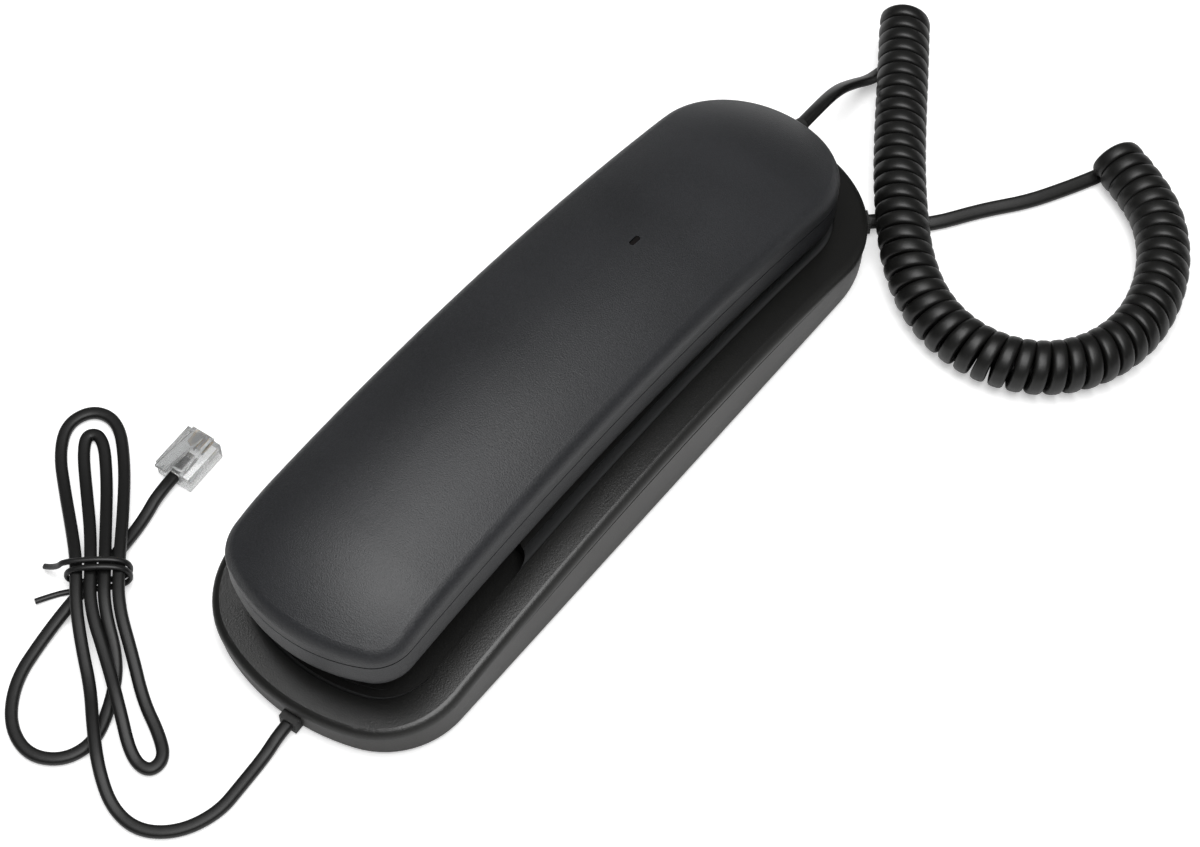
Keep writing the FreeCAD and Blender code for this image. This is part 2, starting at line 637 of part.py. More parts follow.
def handset_outer_shell():
    """Domed back of the handset: crowned across, arched along, rounded into an upright lip."""
    block = HANDSET_PLAN.prism(0.0, DEEP + 1, HANDSET_SEAM_HEIGHT + 40)
    dome = block.common(crown_solid(0.0)).cut(under_handset_arch(0.0))
    probe = HANDSET_PLAN.prism(0.5, DEEP, HANDSET_SEAM_HEIGHT + 60)
    brow = rims_where(dome, lambda p: p.z > handset_arch(p.y) + 1.0 and not probe.isInside(p, 0.01, False)
                      and abs(p.z - handset_arch(p.y)) > 1.0)
    upright = [e for e in brow if abs(e.Vertexes[0].X - e.Vertexes[-1].X) < 1e-6
               and abs(e.Vertexes[0].Y - e.Vertexes[-1].Y) < 1e-6]
    brow = [e for e in brow if all(not e.isSame(u) for u in upright)]
    dome = dome.makeFillet(CROWN_ROUND, brow)
    hollow = HANDSET_PLAN.prism(HANDSET_SKIN, DEEP + 1, HANDSET_SEAM_HEIGHT + 40)
    hollow = hollow.common(crown_solid(HANDSET_SKIN))
    dome = dome.cut(hollow)
    low = HANDSET_SEAM_HEIGHT
    return dome.cut([indicator_slot(0.0, low, low + 20), exit_bore(HANDSET_EXIT_RADIUS)])


def cup(y, low, radius, high, root):
    cone = Part.makeCone(radius, root, high - low, Vec(0, y, low))
    return cone


def ear_low():
    return EAR_POCKET_FLOOR + SEAT_GAP


def mouth_low():
    return MOUTH_POCKET_FLOOR + SEAT_GAP


def keypad_place():
    """Placement of the keypad: its plane touches the face at the keypad's middle and leans with it."""
    origin = Vec(0, KEYPAD_Y, handset_arch(KEYPAD_Y, -FACE_DEPTH) + KEYPAD_FACE)
    return FreeCAD.Placement(origin, FreeCAD.Rotation(Vec(1, 0, 0), -KEYPAD_LEAN))


def on_keypad(shape):
    shape.Placement = keypad_place().multiply(shape.Placement)
    return shape


def key_places():
    """Name, across and along of each key; rows run from the ear end to the mouth end."""
    names = (("1", "2", "3"), ("4", "5", "6"), ("7", "8", "9"), ("star", "0", "hash"))
    first = -1.5 * KEY_PITCH_Y + 0.5 * FUNCTION_ROW_GAP
    places = []
    for row, line in enumerate(names):
        for column, name in enumerate(line):
            places.append((name, (column - 1) * KEY_PITCH_X, first + row * KEY_PITCH_Y))
    for column, name in enumerate(("redial", "flash", "mute")):
        places.append((name, (column - 1) * KEY_PITCH_X, first - FUNCTION_ROW_GAP))
    return places


def key_bar(x, y, grow, low, high):
    bar = rounded_bar(0.5 * KEY_WIDTH + grow, 0.5 * KEY_LENGTH + grow, KEY_CORNER + grow, low, high)
    bar.translate(Vec(x, y, 0))
    return bar


def key(x, y):
    """Key cap with a rounded crown, a flange behind the face and a stem towards the contact mat."""
    cap = rounded_bar(0.5 * KEY_WIDTH, 0.5 * KEY_LENGTH, KEY_CORNER, -KEY_PROUD, HANDSET_SKIN + 0.2)
    crown = rims_where(cap, lambda p: p.z < -KEY_PROUD + 0.01)
    cap = cap.makeFillet(0.6, crown)
    cap.translate(Vec(x, y, 0))
    flange = key_bar(x, y, KEY_FLANGE_RIM, HANDSET_SKIN + 0.2, HANDSET_SKIN + 0.2 + KEY_FLANGE)
    top = HANDSET_SKIN + 0.2 + KEY_FLANGE
    stem = cylinder(x, y, top, top + KEY_STEM, KEY_STEM_RADIUS)
    return on_keypad(cap.fuse([flange, stem]).removeSplitter())


def keypad_mat():
    """Silicone contact sheet under the board, open where each key's stem goes in."""
    sheet = rounded_bar(KEYPAD_HALF_WIDTH - 1.5, KEYPAD_HALF_LENGTH - 1.0, 3.0, MAT_LOW, BOARD_LOW)
    holes = [cylinder(x, y, MAT_LOW - 1, BOARD_LOW + 1, KEY_STEM_RADIUS + 0.5) for name, x, y in key_places()]
    return on_keypad(sheet.cut(holes))


def handset_circuit_board():
    board = rounded_bar(KEYPAD_HALF_WIDTH, KEYPAD_HALF_LENGTH + 4.0, 2.0, BOARD_LOW,
                        BOARD_LOW + BOARD_THICKNESS)
    holes = []
    for x, y in board_bosses():
        holes.append(cylinder(x, y, BOARD_LOW - 1, BOARD_LOW + 3, SCREW_SHANK + SCREW_CLEARANCE))
    return on_keypad(board.cut(holes))


def board_bosses():
    return [(0, -KEYPAD_HALF_LENGTH - 1.6), (0, KEYPAD_HALF_LENGTH + 1.6)]


def board_screws():
    screws = []
    for x, y in board_bosses():
        one = screw(0, 0, 0, SCREW_HEAD_HEIGHT + 4.5)
        one.rotate(Vec(0, 0, 0), Vec(1, 0, 0), 180)
        one.translate(Vec(x, y, BOARD_LOW + BOARD_THICKNESS + SCREW_HEAD_HEIGHT))
        screws.append(one)
    return on_keypad(group(screws))


def cup_holes(y, low, rings, radius):
    """Sound holes through a cup's floor: one in the middle and rings of six about it."""
    holes = [cylinder(0, y, low - 1, low + HANDSET_SKIN + 1, radius)]
    for ring in range(1, rings + 1):
        count = 6 * ring
        for k in range(count):
            angle = 2 * math.pi * k / count
            x = 3.4 * ring * math.cos(angle)
            across = y + 3.4 * ring * math.sin(angle)
            holes.append(cylinder(x, across, low - 1, low + HANDSET_SKIN + 1, radius))
    return holes


def handset_inner_shell():
    """Face of the handset: tray with a rounded edge, ear and mouth cups, and the keypad's window panel."""
    seam = under_handset_arch(0.0)
    face = under_handset_arch(-FACE_DEPTH)
    tray = HANDSET_PLAN.prism(SHELL_STEP, DEEP + 1, HANDSET_SEAM_HEIGHT + 5).common(seam).cut(face)
    low_rim = rims_where(tray, lambda p: abs(p.z - handset_arch(p.y, -FACE_DEPTH)) < 0.05)
    tray = tray.makeFillet(FACE_ROUND, low_rim)
    hollow = HANDSET_PLAN.prism(SHELL_STEP + HANDSET_SKIN, DEEP + 1, HANDSET_SEAM_HEIGHT + 5)
    hollow = hollow.common(under_handset_arch(1.0))
    hollow = hollow.cut(under_handset_arch(HANDSET_SKIN - FACE_DEPTH))
    low_rim = rims_where(hollow, lambda p: abs(p.z - handset_arch(p.y, HANDSET_SKIN - FACE_DEPTH)) < 0.05)
    hollow = hollow.makeFillet(FACE_ROUND - HANDSET_SKIN, low_rim)
    cups = []
    cup_hollows = []
    for y, low, radius, root in ((EAR_Y, ear_low(), EAR_RADIUS, EAR_ROOT_RADIUS),
                                 (MOUTH_Y, mouth_low(), MOUTH_RADIUS, MOUTH_ROOT_RADIUS)):
        high = handset_arch(y, HANDSET_SKIN - FACE_DEPTH)
        cone = cup(y, low, radius, high, root)
        cone = cone.makeFillet(CUP_ROUND, rims_where(cone, lambda p: p.z < low + 0.01))
        cups.append(cone)
        cup_hollows.append(cup(y, low + HANDSET_SKIN, radius - HANDSET_SKIN, high + 3.0, root - HANDSET_SKIN))
    panel = rounded_bar(KEYPAD_HALF_WIDTH + 1.5, KEYPAD_HALF_LENGTH + 1.5, KEYPAD_CORNER + 1.5, -0.6,
                        HANDSET_SKIN)
    pads = [panel]
    for x, y in board_bosses():
        pads.append(cylinder(x, y, 0.5, BOARD_LOW, BOSS_RADIUS - 0.4))
    pads = on_keypad(pads[0].fuse(pads[1:]))
    shell = tray.cut(hollow).fuse(cups + [pads])
    cuts = list(cup_hollows)
    window = rounded_bar(KEYPAD_HALF_WIDTH, KEYPAD_HALF_LENGTH, KEYPAD_CORNER, -6.0, 0.0)
    cuts.append(on_keypad(window))
    for name, x, y in key_places():
        cuts.append(on_keypad(key_bar(x, y, KEY_CLEARANCE, -1.0, HANDSET_SKIN + 1.0)))
    for x, y in board_bosses():
        cuts.append(on_keypad(cylinder(x, y, HANDSET_SKIN - 0.8, BOARD_LOW + 1, SCREW_SHANK + 0.05)))
    cuts += cup_holes(EAR_Y, ear_low(), 2, 0.9)
    cuts += cup_holes(MOUTH_Y, mouth_low(), 0, 1.0)
    cuts.append(exit_bore(HANDSET_EXIT_RADIUS))
    cuts.append(handset_groove())
    return shell.cut(cuts)


def receiver_capsule():
    """Receiver with its stepped can, sitting on its ring gasket in the ear cup."""
    low = ear_low() + HANDSET_SKIN + 1.0
    rim = cylinder(0, EAR_Y, low, low + 3.0, RECEIVER_RADIUS)
    can = cylinder(0, EAR_Y, low + 3.0, low + 7.0, RECEIVER_RADIUS - RECEIVER_RIM)
    return rim.fuse(can).cut(cylinder(0, EAR_Y, low - 1, low + 0.8, RECEIVER_RADIUS - GASKET_WIDTH))


def receiver_gasket():
    low = ear_low() + HANDSET_SKIN
    ring = cylinder(0, EAR_Y, low, low + 1.0, RECEIVER_RADIUS)
    return ring.cut(cylinder(0, EAR_Y, low - 1, low + 2, RECEIVER_RADIUS - GASKET_WIDTH))


def microphone_boot():
    """Rubber boot in the mouth cup, open towards the sound hole."""
    low = mouth_low() + HANDSET_SKIN
    boot = cylinder(0, MOUTH_Y, low, low + 6.5, MIC_RADIUS + 1.5)
    boot = boot.cut(cylinder(0, MOUTH_Y, low + 1.0, low + 8, MIC_RADIUS))
    return boot.cut(cylinder(0, MOUTH_Y, low - 1, low + 2, 1.5))


def microphone_capsule():
    low = mouth_low() + HANDSET_SKIN + 1.0
    return cylinder(0, MOUTH_Y, low, low + 5.0, MIC_RADIUS - 0.1)


def call_indicator():
    """Clear light guide that fills the slot in the dome, with a shoulder inside."""
    top = handset_arch(SLOT_Y, CROWN_HEIGHT) - 0.35
    under = handset_arch(SLOT_Y, CROWN_HEIGHT - HANDSET_SKIN) - 0.6
    bar = indicator_slot(0.1, under, top)
    shoulder = rounded_bar(2.4, 3.4, 0.8, under - 1.5, under)
    shoulder.translate(Vec(0, SLOT_Y, 0))
    return bar.fuse(shoulder).removeSplitter()


def handset_grommet():
    """Rubber bush split by the handset's seam, flanged inside, with a short tapered nose."""
    point = handset_exit()
    bush = Part.makeCylinder(HANDSET_EXIT_RADIUS - 0.1, 3.4, point - Vec(0, 3.2, 0), Vec(0, 1, 0))
    flange = Part.makeCylinder(HANDSET_EXIT_RADIUS + 1.2, 1.5, point - Vec(0, 4.5, 0), Vec(0, 1, 0))
    nose = Part.makeCone(HANDSET_EXIT_RADIUS - 0.1, 0.5 * COIL_WIRE + 0.5, 2.6, point + Vec(0, 0.2, 0),
                         Vec(0, 1, 0))
    return bush.fuse([flange, nose]).removeSplitter()


def handset_cord_mouth():
    return handset_exit() + Vec(0, 2.8, 0)


def tangent_arc(start, corner, end):
    """Arc from start to end that touches the lines to their corner, which is as far from both."""
    middle = (start + end) * 0.5
    rise = (corner - middle).Length
    half = 0.5 * (end - start).Length
    if rise < 1e-6 * half:
        return Part.makeLine(start, end)
    angle = math.atan2(rise, half)
    top = middle + (corner - middle) * (math.tan(0.5 * angle) / math.tan(angle))
    return Part.Arc(start, top, end).toShape()


def route_edges(points, label):
    """Straight runs through hand-chosen points, joined by arcs as large as the runs allow."""
    edges = []
    radii = []
    last = points[0]
    for before, here, after in zip(points, points[1:], points[2:]):
        cut = CORNER_SHARE * min((here - before).Length, (after - here).Length)
        start = here + (before - here).normalize() * cut
        end = here + (after - here).normalize() * cut
        turn = (here - before).getAngle(after - here)
        radii.append(cut / math.tan(0.5 * turn))
        edges.append(Part.makeLine(last, start))
        edges.append(tangent_arc(start, here, end))
        last = end
    edges.append(Part.makeLine(last, points[-1]))
    print("%s: bend radii %s" % (label, " ".join("%.0f" % r for r in radii)))
    return edges


def tube(edges, diameter, label):
    """Round tube along joined edges, with its volume set against section times length."""
    path = Part.Wire(edges)
    start = edges[0].valueAt(edges[0].FirstParameter)
    along = edges[0].tangentAt(edges[0].FirstParameter)
    ring = Part.Wire(Part.makeCircle(0.5 * diameter, start, along))
    body = path.makePipeShell([ring], True, False)
    ideal = 0.25 * math.pi * diameter ** 2 * path.Length
    facts = (label, path.Length, body.Volume / ideal, body.isValid())
    print("%s: length %.1f volume ratio %.4f valid %s" % facts)
    return body


def self_gap(edges, diameter, label):
    """Least clear distance between parts of a tube that are more than a few diameters apart along it."""
    step = 0.5
    points = []
    for edge in edges:
        count = max(2, int(edge.Length / step))
        for k in range(count):
            t = edge.FirstParameter + (edge.LastParameter - edge.FirstParameter) * k / count
            points.append(edge.valueAt(t))
    skip = int(2.2 * diameter / step)
    cells = {}
    for i, p in enumerate(points):
        cells.setdefault((int(p.x // 5), int(p.y // 5)), []).append((i, p))
    least = 1e9
    for i, p in enumerate(points):
        cx, cy = int(p.x // 5), int(p.y // 5)
        for gx in (cx - 1, cx, cx + 1):
            for gy in (cy - 1, cy, cy + 1):
                for j, q in cells.get((gx, gy), ()):
                    if j - i > skip:
                        least = min(least, (p - q).Length)
    print("%s: least gap to itself %.2f, wanted over %.1f" % (label, least - diameter, LEAST_SELF_GAP))


def biarc(start, start_way, end, end_way):
    """Two tangent arcs from a point and direction to another point and direction."""
    chord = end - start
    total = start_way + end_way
    a = 2.0 * (1.0 - start_way.dot(end_way))
    b = 2.0 * chord.dot(total)
    c = -chord.dot(chord)
    if abs(a) < 1e-9:
        d = -c / b
    else:
        d = (-b + math.sqrt(b * b - 4 * a * c)) / (2 * a)
    first = start + start_way * d
    second = end - end_way * d
    joint = (first + second) * 0.5
    return [tangent_arc(start, first, joint), tangent_arc(joint, second, end)]


def path_points(edges, step):
    """Points and directions at even steps along joined edges."""
    wire = Part.Wire(edges)
    ordered = wire.OrderedEdges
    found = []
    travelled = 0.0
    wanted = 0.0
    for edge in ordered:
        while wanted <= travelled + edge.Length + 1e-9:
            t = edge.getParameterByLength(wanted - travelled)
            point = edge.valueAt(t)
            way = edge.tangentAt(t)
            found.append((point, way))
            wanted += step
        travelled += edge.Length
    return found, travelled


def coil_cord_edges():
    """Helix about the coil's axis on biarcs of a quarter turn, then a turn down into each lead."""
    axis = route_edges(COIL_AXIS, "coil axis")
    length = Part.Wire(axis).Length
    turns = int(round(length / COIL_PITCH - 0.5)) + 0.5
    fine = 16
    steps = int(turns * 4 * fine)
    radius = 0.5 * (COIL_OUTSIDE - COIL_WIRE)
    places, total = path_points(axis, length / steps * (1.0 - 1e-9))
    points = []
    for k, (centre, way) in enumerate(places):
        across = way.cross(UP).normalize()
        rise = across.cross(way).normalize()
        angle = 2 * math.pi * turns * k / steps
        sideways = across * (radius * math.cos(angle))
        points.append(centre + sideways - rise * (radius * math.sin(angle)) * COIL_HAND)
    ways = []
    for k in range(len(points)):
        low = max(0, k - 1)
        high = min(len(points) - 1, k + 1)
        ways.append((points[high] - points[low]).normalize())
    edges = []
    for k in range(0, steps - fine + 1, fine):
        edges += biarc(points[k], ways[k], points[k + fine], ways[k + fine])
    start_run = HANDSET_LEAD_JOIN - HANDSET_LEAD_WAY * (1.7 * COIL_WIRE)
    end_run = BASE_LEAD_JOIN + BASE_LEAD_WAY * COIL_WIRE
    head = [Part.makeLine(HANDSET_LEAD_JOIN, start_run)]
    head += biarc(start_run, -HANDSET_LEAD_WAY, points[0], ways[0])
    tail = biarc(points[steps], ways[steps], end_run, -BASE_LEAD_WAY)
    tail += [Part.makeLine(end_run, BASE_LEAD_JOIN)]
    print("coil: %.1f turns on %.1f of axis" % (turns, length))
    return head + edges + tail


def handset_lead_points():
    mouth = handset_cord_mouth()
    return [mouth, mouth + Vec(0, 5.4, 0), Vec(-1.4, 112.6, 15.4), Vec(-2.4, 122.6, 8.2),
            Vec(-2.3, 130.4, 2.5),
            HANDSET_LEAD_JOIN + HANDSET_LEAD_WAY * 4.4, HANDSET_LEAD_JOIN]


def base_lead_points():
    mouth, outward = grommet_mouth("coil")
    return [mouth, mouth + outward * 3.0, mouth + outward * 7.0 + Vec(0.8, -0.4, -1.3),
            Vec(36.4, 101.4, 1.55),
            Vec(44.0, 113.4, 1.55), BASE_LEAD_LAST, BASE_LEAD_JOIN]


def line_lead_points():
    mouth, outward = grommet_mouth("line")
    return [mouth, mouth + outward * 3.4, mouth + outward * 8.4 + Vec(0.2, 0, -1.4), Vec(5.0, -117.6, 1.4),
            Vec(5.6, -126.0, 1.4), Vec(2.0, -134.6, 1.4), Vec(-5.0, -139.8, 1.4), Vec(-13.2, -139.4, 1.7),
            Vec(-20.6, -135.2, 4.8), Vec(-28.6, -128.6, 4.8), Vec(-36.4, -121.6, 3.6), LINE_LEAD_LAST,
            lead_join()]


def lead_join():
    """Where the lead of the line cord runs on into the hank."""
    return (LINE_LEAD_LAST + strand(0, -8.0)) * 0.5


def tail_join():
    """Where the hank runs on into the tail that ends in the plug."""
    return (HANK_LAST + TAIL_FIRST) * 0.5


def strand(place, along):
    """Point on one of the four strands in the tie, counted from the left, and so far up the hank."""
    up_hank = Vec(-TIE_ACROSS.y, TIE_ACROSS.x, 0)
    return TIE_CENTRE + TIE_ACROSS * (STRAND_STEP * (place - 1.5)) + up_hank * along


def hank_points():
    """Two loops above the tie, a narrow fold and a wide loop below it, in one length of cord."""
    return [lead_join(), strand(0, -8.0), strand(0, 2.0), Vec(-67.0, -95.8, 4.2), Vec(-77.8, -87.8, 2.0),
            Vec(-86.6, -80.8, 1.4), Vec(-91.2, -73.6, 1.4), Vec(-88.8, -66.8, 1.4), Vec(-81.6, -65.8, 1.4),
            Vec(-72.0, -73.8, 1.8), Vec(-61.8, -84.6, 4.0), strand(3, 1.0), strand(3, -9.5),
            Vec(-34.4, -110.2, 4.0), Vec(-25.6, -116.4, 2.0), Vec(-17.6, -120.0, 1.4),
            Vec(-12.4, -123.6, 1.4), Vec(-12.8, -128.2, 1.4), Vec(-18.4, -128.0, 1.6),
            Vec(-27.6, -121.4, 4.8), Vec(-37.8, -114.8, 4.9),
            strand(1, -9.5), strand(1, 1.5), Vec(-64.4, -92.6, 4.2), Vec(-74.4, -84.2, 2.0),
            Vec(-82.4, -77.2, 1.4), Vec(-85.4, -72.8, 1.4), Vec(-81.8, -71.0, 1.4), Vec(-72.6, -79.2, 1.8),
            Vec(-62.6, -89.4, 4.2), strand(2, 0.5), strand(2, -9.5), Vec(-36.2, -113.0, 2.4),
            Vec(-30.8, -121.6, 1.4), Vec(-27.2, -130.0, 1.4), Vec(-29.4, -137.6, 1.4),
            Vec(-36.6, -141.6, 1.4), Vec(-45.2, -138.6, 1.4), Vec(-51.8, -130.0, 1.4),
            Vec(-54.2, -119.4, 1.6), Vec(-55.4, -108.4, 2.7),
            Vec(-55.8, -97.6, 2.7), HANK_LAST, tail_join()]


def tail_points():
    entry = PLUG_ENTRY + Vec(0, 0, PLUG_CORD_HEIGHT)
    way = Vec(-math.sin(math.radians(PLUG_TURN)), math.cos(math.radians(PLUG_TURN)), 0)
    return [tail_join(), TAIL_FIRST, entry - way * 5.0, entry + way * PLUG_CORD_REACH]


def on_plug(shape):
    shape.rotate(Vec(0, 0, 0), UP, PLUG_TURN)
    shape.translate(PLUG_ENTRY)
    return shape


def contact_slots(gap):
    slots = []
    for k in range(CONTACT_COUNT):
        x = (k - 0.5 * (CONTACT_COUNT - 1)) * CONTACT_PITCH
        half = 0.5 * CONTACT_WIDTH - gap
        low = Vec(x - half, PLUG_LENGTH - 3.6 + gap, 0.9 + gap)
        slots.append(box(low, Vec(x + half, PLUG_LENGTH + 1, 4.6 - gap)))
    return slots


def line_plug():
    """Clear modular plug with its contact slots at the tip and the latch arm sloping back over it."""
    body = box(Vec(-0.5 * PLUG_WIDTH, 0, 0), Vec(0.5 * PLUG_WIDTH, PLUG_LENGTH, PLUG_HEIGHT - 1.4))
    keel = box(Vec(-3.1, 0.8, PLUG_HEIGHT - 1.5), Vec(3.1, PLUG_LENGTH, PLUG_HEIGHT - 0.2))
    body = body.fuse(keel)
    half = 0.5 * LATCH_WIDTH
    front = PLUG_LENGTH - 0.6
    z = PLUG_HEIGHT - 0.3
    profile = [Vec(-half, front, z), Vec(-half, front - 2.0, z + 1.2), Vec(-half, -3.2, z + 3.4),
               Vec(-half, -3.2, z + 3.4 + LATCH_THICKNESS),
               Vec(-half, front - 2.0, z + 1.2 + LATCH_THICKNESS),
               Vec(-half, front, z + LATCH_THICKNESS)]
    latch = Part.Face(Part.makePolygon(profile + [profile[0]])).extrude(Vec(LATCH_WIDTH, 0, 0))
    wide = 0.5 * LINE_CORD + PLUG_CHANNEL_GAP
    channel = box(Vec(-wide, -1.0, PLUG_CORD_HEIGHT - wide),
                  Vec(wide, PLUG_CORD_REACH + 0.5, PLUG_CORD_HEIGHT + wide))
    return on_plug(body.fuse(latch).cut(contact_slots(0.0) + [channel]).removeSplitter())


def line_plug_contacts():
    blades = []
    for slot in contact_slots(0.05):
        blades.append(slot.common(box(Vec(-9, 0, 0), Vec(9, PLUG_LENGTH - 0.3, PLUG_HEIGHT))))
    return on_plug(group(blades))


def twist_tie_points():
    """Wire wound round the strands in a flattened helix, its two ends laid out to the left."""
    up_hank = Vec(-TIE_ACROSS.y, TIE_ACROSS.x, 0)
    half = 1.5 * STRAND_STEP + 0.5 * LINE_CORD + TIE_SLACK + 0.5 * TIE_WIRE
    low = 0.5 * TIE_WIRE + 0.05
    high = TIE_CENTRE.z + 0.5 * LINE_CORD + TIE_SLACK + 0.5 * TIE_WIRE
    flat = Vec(TIE_CENTRE.x, TIE_CENTRE.y, 0)
    points = [flat - TIE_ACROSS * (half + 7.5) - up_hank * (0.5 * TIE_PITCH + 3.0) + UP * (low + 0.4),
              flat - TIE_ACROSS * (half + 4.0) - up_hank * (0.5 * TIE_PITCH + 1.6) + UP * low]
    ring = ((-1.0, low, 0.12), (1.0, low, 0.38), (1.0, high, 0.62), (-1.0, high, 0.88))
    for turn in range(TIE_TURNS):
        for side, z, share in ring:
            along = TIE_PITCH * (turn + share - 0.5 * TIE_TURNS)
            points.append(flat + TIE_ACROSS * (side * half) + up_hank * along + UP * z)
    rise = 0.5 * TIE_TURNS * TIE_PITCH
    points.append(flat - TIE_ACROSS * (half + 2.4) + up_hank * (rise + 0.6) + UP * (0.5 * high))
    points.append(flat - TIE_ACROSS * (half + 5.5) + up_hank * (rise + 2.6) + UP * (low + 1.2))
    return points


def spring_edges():
    """Coil spring in the hook switch, on quarter-turn biarcs."""
    low = BASE_BOARD_HIGH.z + 0.4 + 0.5 * SPRING_WIRE + 0.05
    high = plunger_seat() - 0.5 * SPRING_WIRE - 0.05
    count = SPRING_TURNS * 4
    climb = (high - low) / count

    def place(k):
        angle = 0.5 * math.pi * k
        point = Vec(PLUNGER_X + SPRING_RADIUS * math.cos(angle), PLUNGER_Y + SPRING_RADIUS * math.sin(angle),
                    low + climb * k)
        way = Vec(-SPRING_RADIUS * math.sin(angle), SPRING_RADIUS * math.cos(angle), climb / (0.5 * math.pi))
        return point, way.normalize()

    edges = []
    for k in range(count):
        here, way = place(k)
        there, next_way = place(k + 1)
        edges += biarc(here, way, there, next_way)
    return edges


def cords():
    coil = coil_cord_edges()
    self_gap(coil, COIL_WIRE, "coil cord")
    hank = route_edges(hank_points(), "line cord hank")
    self_gap(hank, LINE_CORD, "line cord hank")
    tie = route_edges(twist_tie_points(), "twist tie")
    lead = route_edges(line_lead_points(), "line cord lead")
    tail = route_edges(tail_points(), "line cord tail")
    self_gap(lead + hank + tail, LINE_CORD, "whole line cord")
    return {
        "coil_cord": tube(coil, COIL_WIRE, "coil cord"),
        "coil_cord_handset_lead": tube(route_edges(handset_lead_points(), "handset lead"), COIL_WIRE,
                                       "handset lead"),
        "coil_cord_base_lead": tube(route_edges(base_lead_points(), "base lead"), COIL_WIRE, "base lead"),
        "line_cord_lead": tube(lead, LINE_CORD, "line cord lead"),
        "line_cord_hank": tube(hank, LINE_CORD, "line cord hank"),
        "line_cord_tail": tube(tail, LINE_CORD, "line cord tail"),
        "twist_tie": tube(tie, TIE_WIRE, "twist tie"),
        "hook_spring": tube(spring_edges(), SPRING_WIRE, "hook spring"),
    }


def build():
    os.makedirs("parts", exist_ok=True)
    makers = (base_lower_shell, base_upper_shell, base_feet, base_screws, base_circuit_board, ringer,
              hook_switch,
              hook_plunger, volume_switch, volume_knob, handset_outer_shell, handset_inner_shell,
              handset_circuit_board, keypad_mat, board_screws, receiver_capsule, receiver_gasket,
              microphone_capsule, microphone_boot, call_indicator, handset_grommet, line_plug,
              line_plug_contacts)
    for maker in makers:
        save(maker.__name__, maker())
    save("line_cord_grommet", grommet("line"))
    save("coil_cord_grommet", grommet("coil"))
    for name, x, y in key_places():
        save("key_" + name, key(x, y))
    for name, shape in cords().items():
        save(name, shape)


build()
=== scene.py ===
import json
import math

import bpy
from mathutils import Matrix, Vector


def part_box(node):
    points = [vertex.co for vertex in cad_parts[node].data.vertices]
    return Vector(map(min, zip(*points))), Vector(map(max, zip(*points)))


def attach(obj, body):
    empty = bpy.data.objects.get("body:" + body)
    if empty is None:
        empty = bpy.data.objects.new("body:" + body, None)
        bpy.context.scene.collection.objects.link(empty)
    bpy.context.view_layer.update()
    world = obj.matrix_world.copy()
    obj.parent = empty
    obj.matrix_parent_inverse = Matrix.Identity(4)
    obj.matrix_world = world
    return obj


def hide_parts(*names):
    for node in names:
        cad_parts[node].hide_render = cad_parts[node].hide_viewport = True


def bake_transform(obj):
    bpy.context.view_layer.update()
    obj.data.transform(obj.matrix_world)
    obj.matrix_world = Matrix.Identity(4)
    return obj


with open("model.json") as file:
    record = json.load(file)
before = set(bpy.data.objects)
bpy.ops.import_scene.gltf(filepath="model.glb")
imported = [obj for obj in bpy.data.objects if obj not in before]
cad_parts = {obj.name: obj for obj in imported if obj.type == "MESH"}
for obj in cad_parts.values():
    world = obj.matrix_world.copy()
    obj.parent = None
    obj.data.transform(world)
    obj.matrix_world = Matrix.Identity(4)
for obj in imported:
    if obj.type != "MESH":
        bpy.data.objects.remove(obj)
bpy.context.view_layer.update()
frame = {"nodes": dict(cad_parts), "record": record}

bl_info = {
    "name": "Corded Landline Phone",
    "version": (1, 0, 0),
    "blender": (4, 5, 0),
    "location": "View3D > Sidebar > Phone",
    "description": "Cords, plug, legends, finishes and stage around the packed solids of a slim corded phone",
    "category": "Object",
}

# Lengths above the stage's are in millimetres, and this turns them to metres
MM = 0.001

# Axis of the coil, from the handset's end to the base's end
COIL_AXIS = [
    (-2.9, 146.2, 10.3), (6.0, 132.4, 10.3), (15.6, 117.2, 10.3), (24.6, 103.6, 10.3), (33.0, 92.4, 10.1),
    (41.2, 83.2, 8.9), (51.2, 76.2, 7.3), (62.4, 72.8, 6.75), (74.4, 73.6, 6.75), (85.2, 79.2, 6.75),
    (92.6, 89.2, 6.75), (95.6, 102.4, 6.75), (93.0, 116.6, 6.75), (86.4, 129.0, 6.75), (76.2, 138.4, 6.75),
    (63.6, 143.4, 6.75),
]

# Lead from the handset down to the coil, and the turn up into it
HANDSET_LEAD = [
    (0.0, 95.8, 19.2), (0.0, 101.2, 19.2), (-1.4, 112.6, 15.4), (-2.4, 122.6, 8.2), (-2.3, 130.4, 2.5),
    (-1.8, 135.6, 1.6), (-1.2, 140.0, 1.6), (-0.6, 144.4, 1.6), (-1.3, 148.6, 1.9), (-5.6, 149.0, 3.6),
]

# Lead from the base out to the coil's other end, and the turn up into it
BASE_LEAD = [
    (24.2, 92.0, 2.8), (26.3, 94.2, 2.8), (29.8, 96.7, 1.7), (36.4, 101.4, 1.6), (44.0, 113.4, 1.6),
    (51.4, 122.4, 1.6), (56.8, 132.2, 1.6), (59.2, 137.0, 1.6), (61.6, 141.8, 1.7),
]

